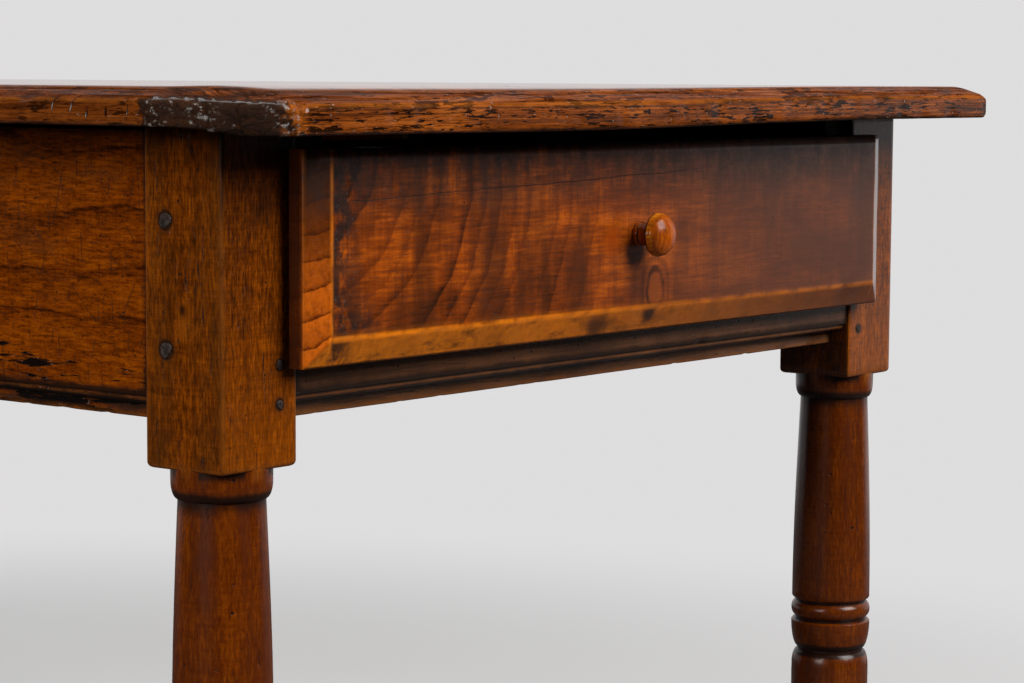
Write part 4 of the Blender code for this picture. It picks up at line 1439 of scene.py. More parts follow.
class PegTree(GeometryTree):
    """Sets one worn peg head at every point, turned to the way that the point gives."""

    spin_seed: int = 11

    def __init__(self) -> None:
        """Build the tree."""
        super().__init__("peg_heads", {"Head": "Object"})
        tree = self.tree
        inputs = {"Vector": self.attribute("way", "FLOAT_VECTOR")}
        aim = tree.node("FunctionNodeAlignRotationToVector", {"axis": "Z"}, inputs)
        spin = tree.node("FunctionNodeRotateRotation", {"rotation_space": "LOCAL"},
                         {"Rotation": aim, "Rotate By": self.spin()})
        inputs = {"Points": self.input("Geometry"), "Instance": self.object("Head"), "Rotation": spin,
                  "Scale": self.attribute("size", "FLOAT_VECTOR")}
        heads = tree.node("GeometryNodeInstanceOnPoints", None, inputs)
        self.close(tree.node("GeometryNodeRealizeInstances", None, {"Geometry": heads}))

    def spin(self) -> Wire:
        """Turn each peg at random about its own axis, from a fixed seed.

        Returns:
            The turn, as a rotation.
        """
        turn = self.tree.node("FunctionNodeRandomValue", {"data_type": "FLOAT"},
                              {"Min": 0.0, "Max": math.tau, "Seed": self.spin_seed}, "Value")
        return self.tree.node("FunctionNodeEulerToRotation", None, {"Euler": self.tree.joined(0.0, 0.0, turn)})


class Workshop:
    """Turns meshes into pieces of the table and keeps the geometry trees that make them."""

    def __init__(self, frame: dict) -> None:
        """Keep the loaded frame and build the trees.
        """
        self.nodes: dict[str, Object] = frame["nodes"]
        self.slots = {item["node"]: item["material_slot"] for item in frame["record"]["subparts"]}
        self.sweep = SweepTree()
        self.leg = LegTree()
        self.pegs = PegTree()

    def piece(self, name: str, mesh: Mesh, body: Body, stands_for: Sequence[str]) -> None:
        """Make a mesh a piece that rides on a body and stands for CAD nodes.

        Args:
            name: the piece's name.
            mesh: its mesh, already in place.
            body: the body that it moves with.
            stands_for: the CAD nodes that it hides.
        """
        mesh.name = name
        mesh.shade_smooth()
        mesh.set_sharp_from_angle(angle=SHARP_ANGLE)
        made = placed(name, mesh)
        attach(made, body.value)
        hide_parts(*stands_for)
        LOG.info("%s: %d points on %s", name, len(mesh.vertices), body.value)

    def dress(self, node: str, material: Material) -> None:
        """Give a CAD node that stays as it is a better material.

        Args:
            node: the node.
            material: what it is made of.
        """
        target = self.nodes[node]
        target.data.materials.clear()
        target.data.materials.append(material)
        LOG.info("%s: dressed", node)


@dataclass
class Assembly:
    """A sub-assembly of the table, made in the workshop."""

    shop: Workshop


@dataclass
class Tabletop(Assembly):
    """The planked top with its bevelled, battered edge.

    A band is where something starts and where it is full, in metres from the edge that it belongs to. Wear
    is given as its waves to the metre and its depth.
    """

    clip: float = 0.056
    bevel_width: float = 0.021
    bevel_drop: float = 0.0075
    lower_round: float = 0.002
    inner: float = 0.06
    rim: float = 0.032
    rim_band: Pair = (0.03, 0.02)
    slope_band: Pair = (0.0015, 0.0032)
    joint: float = 0.00015
    joint_ease: float = 0.0009
    sample: float = 0.003
    fine_sample: float = 0.0012
    worn_reach: float = 0.08
    corner_reach: float = 0.004
    corner_press: float = 0.0012
    sag_low: float = 0.0042
    sag_high: float = 0.0026
    sag_run: Pair = (0.26, -0.16)
    sag_band: Pair = (0.055, 0.015)
    thin_band: Pair = (0.059, 0.004)
    battered_band: Pair = (0.016, 0.003)
    other_corners: tuple[Triple, ...] = ((1, -1, 0.35), (1, 1, 0.5), (-1, 1, 0.45))
    other_band: Pair = (0.07, 0.02)
    broad_wear: Pair = (16.0, 0.0009)
    chip_wear: Pair = (62.0, 0.0034)
    chip_floor: float = 0.12
    chip_lift: float = 0.0016
    fine_wear: Pair = (190.0, 0.0007)
    tiny_wear: Pair = (430.0, 0.0003)
    battered_press: float = 0.0003
    grain_edge: float = 0.0225
    plank_shift: Pair = (3.1, 0.37)
    thin_low: float = 0.001
    thin_high: float = 0.0012
    nick_width: float = 0.0044
    nick_glint_width: float = 0.002
    nick_glint_share: float = 0.4
    nick_glint: Colour = (0.34, 0.3, 0.27)
    nicks: tuple[tuple[Pair, Pair], ...] = (
        ((-0.762, 0.7455), (-0.7655, 0.7545)), ((-0.7775, 0.7445), (-0.7815, 0.7545)),
        ((-0.7905, 0.7415), (-0.7925, 0.7445)), ((-0.8243, 0.7425), (-0.8255, 0.7485)))
    plank_tones: tuple[tuple[Colour, float], ...] = (
        (TOP_WOOD.dark, 0.0), (TOP_WOOD.dark, 0.16), (TOP_WOOD.light, 0.18))
    names: tuple[str, ...] = ("top_plank_1", "top_plank_2", "top_plank_3")
    low: Vector = field(init=False)
    high: Vector = field(init=False)

    def __post_init__(self) -> None:
        """Take the top's box from the CAD planks."""
        boxes = [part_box(name) for name in self.names]
        self.low = Vector(min(box[0][axis] for box in boxes) for axis in range(3))
        self.high = Vector(max(box[1][axis] for box in boxes) for axis in range(3))

    def outline(self, inset: float) -> list[Pair]:
        """Find the eight corners of the top.

        Args:
            inset: how far they are moved in.

        Returns:
            The corners, anticlockwise from the left one of the drawer end.
        """
        half_x, half_y = self.high.x - inset, self.high.y - inset
        clip = self.clip - inset * (2.0 - math.sqrt(2.0))
        corners = [(-half_x + clip, -half_y), (half_x - clip, -half_y),
                   (half_x, -half_y + clip), (half_x, half_y - clip)]
        return corners + [(-x, -y) for x, y in corners]

    def rows(self) -> list[Triple]:
        """Return the edge's section from the underside to the top.

        Returns:
            Inset, height and how exposed each point of the section is.
        """
        base, top, turn = self.low.z, self.high.z, self.lower_round
        shoulder = top - self.bevel_drop
        slope = self.bevel_drop / self.bevel_width
        rows = [(self.inner, base, 0.0), (0.01, base, 0.0), (0.0035, base, 0.2)]
        rows += [(turn - turn * math.sin(a), base + turn - turn * math.cos(a), 0.7) for a in (0.35, 0.8, 1.2)]
        rows += [(0.0, height, 0.45) for height in spread(base + 0.003, shoulder - 0.0028, 0.0022)]
        rows += [(0.0005, shoulder - 0.0012, 0.9), (0.0014, shoulder - 0.0001, 1.0),
                 (0.0028, shoulder + 0.0007, 1.0)]
        rows += [(inset, shoulder + slope * inset - 0.0002, 0.45) for inset in spread(0.0048, 0.0168, 0.0024)]
        rows += [(0.019, top - 0.0011, 0.6), (0.0212, top - 0.0006, 0.6), (0.024, top - 0.0002, 0.3)]
        return rows + [(inset, top, 0.0) for inset in (self.rim, 0.046, self.inner)]

    def shares(self, start: Pair, end: Pair) -> list[float]:
        """Return where a side is sampled, closer together by the battered corner.

        Args:
            start: the side's first corner.
            end: its last corner.

        Returns:
            Shares of the side's length, from 0 to less than 1.
        """
        length = math.dist(start, end)
        corner = (-self.high.x + self.clip / 2, -self.high.y + self.clip / 2)
        shares = [0.0]
        while True:
            is_worn = math.dist(between(start, end, shares[-1]), corner) < self.worn_reach
            spacing = self.fine_sample if is_worn else self.sample
            if shares[-1] + 1.5 * spacing / length > 1.0:
                return shares
            shares.append(shares[-1] + spacing / length)

    def warp(self, points: Array) -> Array:
        """Return how far age has lifted points of the top: the near end sags, and the near side is thin.

        Args:
            points: rows of X, Y and Z.

        Returns:
            The lift of each point, below 0 where it has sunk.
        """
        x, y, z = points.T
        aside, ahead = x + self.high.x, y + self.high.y
        level = (z - self.low.z) / (self.high.z - self.low.z)
        front = ramp(ahead, *self.sag_band)
        sag = (self.sag_low * (1.0 - level) + self.sag_high * level) * ramp(x, *self.sag_run) * front
        side = ramp(aside, *self.thin_band) * (1.0 - front)
        return (self.thin_low * (1.0 - level) - self.thin_high * level) * side - sag

    def battered(self, points: Array) -> Array:
        """Return how battered the edge is at each point: most at the near clipped corner.

        Args:
            points: rows of X, Y and Z.

        Returns:
            0 where the edge is sound, to 1.
        """
        first, run = np.array((-self.high.x, -self.high.y + self.clip)), np.array((self.clip, -self.clip))
        share = np.clip((points[:, :2] - first) @ run / (run @ run), 0.0, 1.0)
        strength = near(*(points[:, :2] - first - share[:, None] * run).T, *self.battered_band)
        for sign_x, sign_y, amount in self.other_corners:
            off_x = points[:, 0] - sign_x * (self.high.x - self.clip / 2)
            off_y = points[:, 1] - sign_y * (self.high.y - self.clip / 2)
            strength = np.maximum(strength, amount * near(off_x, off_y, *self.other_band))
        return strength

    def worn_point(self, place: Vector, inward: Vector, wear: float, boost: float) -> Vector:
        """Return an edge point pressed in by use.

        Args:
            place: the point on the sharp edge.
            inward: the way into the top, level.
            wear: how exposed the point is, 0 to 1.
            boost: how battered the edge is here, 0 to 1.

        Returns:
            The worn point, never outside the sharp edge.
        """
        broad = 0.5 + 0.5 * noise.noise(place * self.broad_wear[0])
        chips = max(0.0, noise.noise(place * self.chip_wear[0] + Vector((5.0, 0.0, 0.0))) - self.chip_floor)
        fine = max(0.0, noise.noise(place * self.fine_wear[0] + Vector((0.0, 9.0, 0.0))))
        tiny = noise.noise(place * self.tiny_wear[0]) * self.tiny_wear[1] * boost
        press = wear * (self.broad_wear[1] * broad + self.chip_wear[1] * chips * (0.6 + 1.5 * boost)
                        + self.fine_wear[1] * fine * (0.6 + 2.5 * boost))
        press += self.battered_press * boost + tiny
        way = 1.0 if place.z < (self.low.z + self.high.z) / 2 else -1.0
        worn = place + inward * press
        lifted = worn.z + wear * self.chip_lift * chips * way * (0.4 + boost)
        worn.z = min(self.high.z, max(self.low.z, lifted))
        return worn

    def whole(self) -> BMesh:
        """Return the top in one piece, with its worn edge.

        Returns:
            A closed bmesh, before it is parted into planks.
        """
        sides = [self.shares(start, end) for start, end in looped(self.outline(0.0))]
        loops: list[list[Vector]] = []
        for inset, height, wear in self.rows():
            loop: list[Vector] = []
            for (start, end), shares in zip(looped(self.outline(inset)), sides):
                along = Vector((end[0] - start[0], end[1] - start[1], 0.0)).normalized()
                inward = Vector((-along.y, along.x, 0.0))
                for share in shares:
                    place = Vector((*between(start, end, share), height))
                    gap = min(share, 1.0 - share) * math.dist(start, end)
                    corner = math.exp(-((gap / self.corner_reach) ** 2)) * self.corner_press * wear * (inset < 0.003)
                    boost = float(self.battered(np.array([place[:]]))[0])
                    worn = self.worn_point(place + inward * corner, inward, wear, boost)
                    worn.z += float(self.warp(np.array([worn[:]]))[0])
                    loop.append(worn)
            loops.append(loop)
        shape = lofted(loops)
        bmesh.ops.recalc_face_normals(shape, faces=shape.faces[:])
        return shape

    def part(self, shape: BMesh, place: float, way: float) -> None:
        """Saw the top along one joint, and ease the joint's upper arris.

        Args:
            shape: the top.
            place: the joint's X.
            way: 1 to keep what lies on the left of it, -1 for the right.
        """
        sawn(shape, (place, 0, 0), (way, 0, 0))
        arris = [edge for edge in shape.edges
                 if all(abs(vert.co.x - place) < 1e-5 and vert.co.z > self.high.z - 1e-5 for vert in edge.verts)]
        bmesh.ops.bevel(shape, geom=arris, offset=self.joint_ease, segments=2, affect="EDGES")

    def grain(self, points: Array, plank: int) -> Array:
        """Return the grain's coordinates: along the planks on top, and along the edge on the rim.

        Args:
            points: rows of X, Y and Z.
            plank: the plank's number, which sets its figure apart.

        Returns:
            Rows of along, across and through.
        """
        x, y, z = points.T
        edge_x, edge_y = self.high.x - np.abs(x), self.high.y - np.abs(y)
        inset = np.minimum(edge_x, edge_y)
        on_rim = inset < self.grain_edge
        along = np.where(on_rim, np.where(edge_y < edge_x, x, y), y * 0.4)
        across = np.where(on_rim, z * 1.4 + 0.4, x)
        through = np.where(on_rim, inset * 0.6 + 0.2, z)
        shift = np.where(on_rim, 0.0, plank)
        return np.stack([along + shift * self.plank_shift[0], across + shift * self.plank_shift[1], through], axis=1)

    def paint(self, mesh: Mesh, plank: int) -> None:
        """Store grain, arrises, dirt and painted shade, battering, and the spots of painted glints and a painted
        highlight at each point of a plank.

        Args:
            mesh: the plank.
            plank: its number.
        """
        points = positions(mesh)
        x, y, z = points.T
        edge_x, edge_y = self.high.x - np.abs(x), self.high.y - np.abs(y)
        inset = np.minimum(np.minimum(edge_x, edge_y), (edge_x + edge_y - self.clip) / math.sqrt(2.0))
        inset = np.maximum(0.0, inset)
        height = z - self.warp(points)
        aside, ahead = x + self.high.x, y + self.high.y
        arris = near(inset - 0.001, height - self.high.z + self.bevel_drop, 0.0034, 0.0008)
        crest = near(inset - self.bevel_width, height - self.high.z, 0.004, 0.001)
        lower = near(inset, height - self.low.z, 0.003, 0.001)
        # Painted glints: three spots along the near clipped corner for bright specks, and a painted orange highlight
        # just past its right arris.
        glint = [near(aside - self.clip * share, ahead - self.clip * (1.0 - share), 0.012, 0.003)
                 for share in (0.0, 0.36, 1.0)]
        flat = ramp(inset, *self.rim_band[::-1])
        seam = np.abs(np.abs(x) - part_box(self.names[1])[1].x) < 0.0005
        copper = near(aside - self.clip - 0.004, ahead, 0.012, 0.003)
        char = near(aside - self.clip * 0.46, ahead - self.clip * 0.46, 0.05, 0.024)
        carry(
            mesh,
            grain=self.grain(points, plank),
            slope=ramp(inset, *self.slope_band) * ramp(inset, self.grain_edge, 0.02),
            arris=np.maximum(np.maximum(arris, crest * 0.5), lower * 0.4),
            battered=self.battered(points) * (0.44 * ramp(inset, 0.05, 0.02) + 0.56 * ramp(inset, 0.006, 0.002)),
            glint=np.max(glint, axis=0),
            copper=copper * ramp(inset, 0.016, 0.004),
            side=ramp(aside, 0.025, 0.022) * ramp(ahead, self.clip - 0.004, self.clip + 0.004),
            rim=ramp(inset, *self.rim_band),
            flat=flat,
            seam=seam * flat,
            # grime: darker along the edge's lowest four millimetres.
            grime=ramp(height, self.low.z + 0.004, self.low.z) * 0.7,
            char=char * ramp(inset, 0.03, 0.021),
        )

    def material(self, plank: int) -> Material:
        """Return one plank's wood.

        Args:
            plank: the plank's number.

        Returns:
            The material.
        """
        cut = Cut(Grain.Y, (0.11, 0.35), (0.03, 0.02), 2.0, carried=True)
        scratch = (0.03, 0.012, 0.006)
        marks = [
            ScuffsAndPaintedLight(14, 0.5, 0.74, (0.03, 0.01, 0.004), 0.5, shift=2.0),
            Checks((14, 260), 0.02, 0.54, 0.0005, shift=3.0),
            WeatheredEdge((0.006, 0.0026, 0.0016), 12.0),
            Stain("slope", (0.06, 0.0125, 0.0026), 0.45),
            Stain("side", (0.05, 0.0105, 0.0016), 0.38),
            Pits(Face.SIDE, (0.02, 0.06), 0.08, 0.75, 0.0012, (0.01, 0.005, 0.003), 1.9, where="side"),
            Pits(Face.END, (0.026, 0.04), 0.06, 0.4, 0.001, (0.008, 0.004, 0.003), 4.2, where="rim"),
            RUBBED,
            GRIME_AND_SHADE,
            Stain("flat", *self.plank_tones[plank]),
            Stain("seam", (0.006, 0.003, 0.002), 0.95),
            Scratches(Face.TOP, 0.9, 0.045, 0.0004, 0.12, 0.5, scratch, 5.0 + plank, where="flat"),
            Scratches(Face.TOP, -0.4, 0.06, 0.0004, 0.16, 0.48, scratch, 8.0 + plank, where="flat"),
            Pits(Face.TOP, (0.034, 0.034), 0.045, 0.3, 0.0006, shift=3.3, where="flat"),
            ScuffsAndPaintedLight((60, 60, 420), 0.34, 0.6, (0.022, 0.0095, 0.006), 0.92, "char", 6.0),
            Chipped((0.0205, 0.0108, 0.0074)),
        ]
        for foot, head in self.nicks if plank == 0 else ():
            middle = between(foot, head, self.nick_glint_share)
            # Each nick: a dark split, and a painted glint along its lower part.
            marks += [SplitAndGlint(Face.SIDE, foot, head, self.nick_width, where="side"),
                      SplitAndGlint(Face.SIDE, foot, middle, self.nick_glint_width, self.nick_glint, "side")]
        return WoodMaterial(TOP_WOOD, cut, marks).build(f"{self.names[plank]}_wood")

    def build(self) -> None:
        """Make the planks and set them over their CAD nodes."""
        whole = self.whole()
        for plank, name in enumerate(self.names):
            low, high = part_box(name)
            shape = whole.copy()
            for place, way in ((low.x, -1.0), (high.x, 1.0)):
                if abs(place) < self.high.x - 0.01:
                    self.part(shape, place + way * self.joint, way)
            mesh = meshed(shape, name)
            mesh.materials.append(self.material(plank))
            self.paint(mesh, plank)
            self.shop.piece(f"worn_{name}", mesh, Body.FRAME, [name])
        whole.free()


@dataclass
class Turning:
    """The turned lengths of a leg, as the lathe leaves them."""

    overlap: float = 0.006
    collar: float = 0.0625
    collar_height: float = 0.019
    collar_straight: float = 0.008
    shaft_top: float = 0.054
    shaft_foot: float = 0.0628
    shaft_steps: int = 29
    groove_width: float = 0.003
    groove_depth: float = 0.003
    ring: float = 0.0636
    ring_height: float = 0.012
    ring_turn: float = 62.0
    cup: float = 0.0636
    cup_height: float = 0.023
    cup_edge: float = 0.001
    neck: float = 0.0528
    neck_height: float = 0.002
    drum: float = 0.0622
    drum_shoulder: float = 0.013
    drum_height: float = 0.048
    base_ring: float = 0.0625
    base_ring_height: float = 0.008
    foot_collar_height: float = 0.014
    foot_collar_straight: float = 0.004
    ankle: float = 0.042
    ankle_steps: int = 16
    bulb: float = 0.06
    bulb_height: float = 0.042
    foot_base: float = 0.04

    @staticmethod
    def curve(*shape: Pair | float) -> list[Pair]:
        """Return an arc of radius and height, given as arc() takes it, as height and radius."""
        return [(height, radius) for radius, height in arc(*shape)]

    def groove(self, level: float, floor: float, shares: Pair = (0.3, 0.7)) -> list[Pair]:
        """Return the floor of a groove whose upper edge is at a level."""
        return [(level - self.groove_width * share, floor) for share in shares]

    def column(self, top: float, bottom: float) -> list[Pair]:
        """Return the column between the blocks.

        Args:
            top: the upper block's lower end.
            bottom: the lower block's upper end.

        Returns:
            Height and radius of its stations, from the top down.
        """
        shaft, foot, neck, base = self.shaft_top / 2, self.shaft_foot / 2, self.neck / 2, self.base_ring / 2
        level = top
        points = [(level + self.overlap, self.collar / 2)]
        reach = (self.collar / 2 - shaft, self.collar_height - self.collar_straight)
        points += self.curve((shaft, level - self.collar_straight), reach, 0, -90, 8)
        level -= self.collar_height
        points.append((level - 0.0006, shaft))
        below = (3 * self.groove_width + self.ring_height + self.cup_height + self.neck_height + self.drum_shoulder
                 + self.drum_height + self.base_ring_height)
        length = level - bottom - below
        for step in range(2, self.shaft_steps):
            part = step / self.shaft_steps
            points.append((level - length * part, shaft + (foot - shaft) * math.sin(part * QUARTER)))
        level -= length
        floor = foot - self.groove_depth
        points += [(level + 0.0012, foot), (level + 0.0001, foot - 0.0006)]
        points += self.groove(level, floor, (0.45, 0.75))
        level -= self.groove_width
        reach = (self.ring / 2 - floor, self.ring_height / 2)
        points += self.curve((floor, level - self.ring_height / 2), reach, self.ring_turn, -self.ring_turn, 10)
        level -= self.ring_height
        points += self.groove(level, floor)
        level -= self.groove_width
        points.append((level + 0.0002, self.cup / 2 - self.cup_edge))
        reach = (self.cup / 2 - neck, self.cup_height - self.cup_edge)
        points += self.curve((neck, level - self.cup_edge), reach, 0, -90, 10)
        level -= self.cup_height + self.neck_height
        reach = (self.drum / 2 - neck, self.drum_shoulder)
        points += self.curve((neck, level - self.drum_shoulder), reach, 90, 0, 10)
        level -= self.drum_shoulder
        points += [(height, self.drum / 2) for height in spread(level, level - self.drum_height, 0.008)[1:]]
        level -= self.drum_height
        points += self.groove(level, floor)
        level -= self.groove_width
        return points + [(level, base - 0.0008), (level - 0.001, base), (bottom - self.overlap, base)]

    def foot(self, top: float) -> list[Pair]:
        """Return the foot under the lower block.

        Args:
            top: the lower block's lower end.

        Returns:
            Height and radius of its stations, from the top down.
        """
        ankle, bulb, base = self.ankle / 2, self.bulb / 2, self.foot_base / 2
        points = [(top + self.overlap, self.collar / 2)]
        reach = (self.collar / 2 - ankle, self.foot_collar_height - self.foot_collar_straight)
        points += self.curve((ankle, top - self.foot_collar_straight), reach, 0, -90, 8)
        start = top - self.foot_collar_height
        for step in range(1, self.ankle_steps + 1):
            part = step / self.ankle_steps
            swell = (1 - math.cos(part * math.pi)) / 2
            points.append((start + (self.bulb_height - start) * part, ankle + (bulb - ankle) * swell))
        return points + self.curve((base, self.bulb_height), (bulb - base, self.bulb_height), 0, -90, 12)[1:]


@dataclass
class Legs(Assembly):
    """The four legs: square blocks with turned lengths between and below them."""

    size: float = 0.064
    arris: float = 0.0007
    arris_steps: int = 3
    upper_bottom: float = 0.5288
    lower_bottom: float = 0.112
    lower_top: float = 0.23
    groove_top: float = 0.36
    groove_radius: Pair = (0.0302, 0.0288)
    sides: int = 72
    sample: float = 0.0032
    worn_reach: float = 0.006
    skin: float = 0.0012
    lower_ease: tuple[Pair, ...] = ((0.0, 0.085), (0.0004, 0.055), (0.001, 0.03), (0.002, 0.01), (0.0034, 0.0))
    upper_ease: tuple[Pair, ...] = ((0.0018, 0.0), (0.00063, 0.009), (0.0, 0.028))
    side_peg: float = 0.0056
    end_peg: float = 0.0034
    turning: Turning = field(default_factory=Turning)

    def block(self, low: float, high: float) -> list[Pair]:
        """Find a block's stations, with its ends eased.

        Args:
            low: its lower end.
            high: its upper end.

        Returns:
            Height and girth of each station.
        """
        ends = [(low + rise, 1.0 - ease) for rise, ease in self.lower_ease]
        tops = [(high - drop, 1.0 - ease) for drop, ease in self.upper_ease]
        return ends + [(z, 1.0) for z in spread(ends[-1][0], tops[0][0], self.sample)[1:-1]] + tops

    def paths(self, name: str, top: float) -> Object:
        """Return the wires of one leg: two square blocks and two turned lengths.

        Args:
            name: the leg's name.
            top: the leg's upper end.

        Returns:
            A wire whose points carry their girth and whether they are square.
        """
        blocks = [self.block(self.upper_bottom, top), self.block(self.lower_bottom, self.lower_top)]
        column = self.turning.column(self.upper_bottom, self.lower_top)
        made = path_object(name + "_path", *blocks, column[::-1], self.turning.foot(self.lower_bottom)[::-1])
        count = sum(len(block) for block in blocks)
        flags = made.data.attributes.new("square", "BOOLEAN", "POINT")
        flags.data.foreach_set("value", [index < count for index in range(len(made.data.vertices))])
        return made

    def paint(self, mesh: Mesh, centre: Pair) -> None:
        """Store arrises, stains, dirt and painted shade at each point of a leg.

        Args:
            mesh: the leg.
            centre: the X and Y of its middle.
        """
        x, y, height = positions(mesh).T
        half, block = self.size / 2, self.upper_bottom
        off_x, off_y = half - np.abs(x - centre[0]), half - np.abs(y - centre[1])
        radius = np.hypot(x - centre[0], y - centre[1])
        upper = height > block
        square = (height > block - TOUCH) | ((height > self.lower_bottom - TOUCH) & (height < self.lower_top + TOUCH))
        square &= (radius > half + TOUCH) | (height > block + 0.001)
        ends = np.min([np.abs(height - end) for end in (block, self.lower_bottom, self.lower_top)], axis=0)
        edge = ramp(np.minimum(off_x, off_y), 0.003, 0.001) * ramp(ends, 0.004, 0.001)
        # grime: dark in the lower column's grooves, and painted shade under the collar, just below the upper block,
        # and near the leg's top under the tabletop.
        groove = ramp(radius, *self.groove_radius) * (height < self.groove_top) * (height > self.lower_top)
        under = ramp(height, block - 0.0215, block - 0.0185) * ramp(height, block - 0.01, block - 0.0175)
        joint = ramp(height, block - 0.006, block) * (height < block + TOUCH)
        top = ramp(height, 0.7, 0.736) * 0.3
        aside = x - centre[0] + half
        # Painted shadow of the top's overhang on the front-left leg's front face, deepest towards the right and the
        # top, with a dark strip beside its left arris.
        front = (y < centre[1] - half + self.skin) * upper * (centre[0] < 0.0) * (centre[1] < 0.0)
        shade = ramp(height, 0.64, 0.7) * (0.22 + 0.55 * ramp(aside, 0.012, 0.048))
        shade = np.maximum(shade, ramp(aside, 0.0046, 0.002) * ramp(height, 0.664, 0.69) * 0.8)
        carry(
            mesh,
            arris=np.maximum(near(off_x, off_y, 0.0034, 0.0008) * 0.7, edge) * square,
            stain=ramp(off_y, 0.04, 0.004) * (off_x < self.skin) * upper,
            glow=ramp(height, 0.64, 0.54) * (off_y < self.skin) * upper,
            square=square,
            turned=~square,
            grime=np.clip(groove + under * 0.9 + joint * 0.8 + top + shade * front * 0.55, 0.0, 1.0),
        )

    def material(self, name: str, corner: tuple[int, int], centre: Pair, seed: float) -> Material:
        """Return one leg's wood, with dark joints round its pegs.

        Args:
            name: the leg's name.
            corner: the signs of its X and Y.
            centre: the X and Y of its middle.
            seed: sets its figure apart.

        Returns:
            The material.
        """
        cut = Cut(Grain.Z, (centre[0] + corner[0] * 0.055, centre[1] + corner[1] * 0.03), (0.02, 0.03), seed)
        side, end = (tuple(peg_centre(f"peg_{way}_{level}_{name}", face) for level in ("low", "high"))
                     for way, face in (("side", Face.SIDE), ("end", Face.END)))
        is_far = name == "front_right"
        marks = [
            ScuffsAndPaintedLight((30, 30, 16), 0.5, 0.74, (0.026, 0.0075, 0.0016), 0.55, shift=seed),
            Stain("glow", (0.3, 0.07, 0.002), 0.2),
            ScuffsAndPaintedLight((60, 60, 14), 0.3, 0.6, (0.044, 0.015, 0.0018), 0.5, "stain", seed + 3.0),
            ScuffsAndPaintedLight((120, 120, 9), 0.46, 0.62, (0.028, 0.005, 0.0004), 0.55, "turned", seed + 6.0),
            Checks((24, 300), 0.02, 0.6, 0.0005, shift=seed + 1.0),
            Stain("turned", (0.08, 0.0115, 0.0003), 0.55),
            RUBBED,
            GRIME_AND_SHADE,
            Pits(Face.SIDE, (0.014, 0.02), 0.06, 0.22, 0.0005, shift=seed + 0.4),
            Pits(Face.END, (0.016, 0.019), 0.052, 0.16, 0.0005, shift=seed + 2.7),
            Polish(0.36 if is_far else 0.1, "turned"),
            *((Polish(0.55, "square"),) if is_far else ()),
            PegShade(Face.SIDE, side, self.side_peg),
            PegShade(Face.END, end, self.end_peg if corner[1] < 0 else self.side_peg),
        ]
        if name == "front_left":
            marks += [Spot(Face.SIDE, (-0.793, 0.62), (0.01, 0.018), (0.3, 0.078, 0.004), 0.4),
                      Spot(Face.SIDE, (-0.793, 0.6255), (0.005, 0.006), (0.014, 0.005, 0.002), 0.95),
                      SplitAndGlint(Face.SIDE, (-0.8074, 0.649), (-0.8056, 0.6535), 0.006),
                      SplitAndGlint(Face.SIDE, (-0.8114, 0.62), (-0.8096, 0.626), 0.008)]
        return WoodMaterial(LEG_WOOD, cut, marks).build(f"leg_{name}_wood")

    def build(self) -> None:
        """Make the legs and set them over their CAD nodes."""
        half = self.size / 2
        section = squared((half, half), self.arris, self.arris_steps, self.sample, self.worn_reach)
        for number, (name, corner) in enumerate(CORNERS.items()):
            low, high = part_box(f"leg_{name}")
            centre = ((low.x + high.x) / 2, (low.y + high.y) / 2)
            wear = Wear(0.0001, 0.0013, 95.0, 1.7 + 2.3 * number)
            material = self.material(name, corner, centre, 3.0 + 4.1 * number)
            mesh = self.shop.leg.make(self.paths(name, high.z), section, wear, material, Sides=self.sides)
            mesh.transform(Matrix.Translation((*centre, 0.0)))
            settle(mesh, low, high)
            self.paint(mesh, centre)
            self.shop.piece(f"turned_leg_{name}", mesh, Body.FRAME, [f"leg_{name}"])


@dataclass(frozen=True)
class Board:
    """One apron or rail: its CAD node, its quarter turns from facing -Y, its wood, marks and wear."""

    node: str
    turns: int
    wood: Wood
    cut: Cut
    marks: tuple[Mark, ...]
    wear: Wear


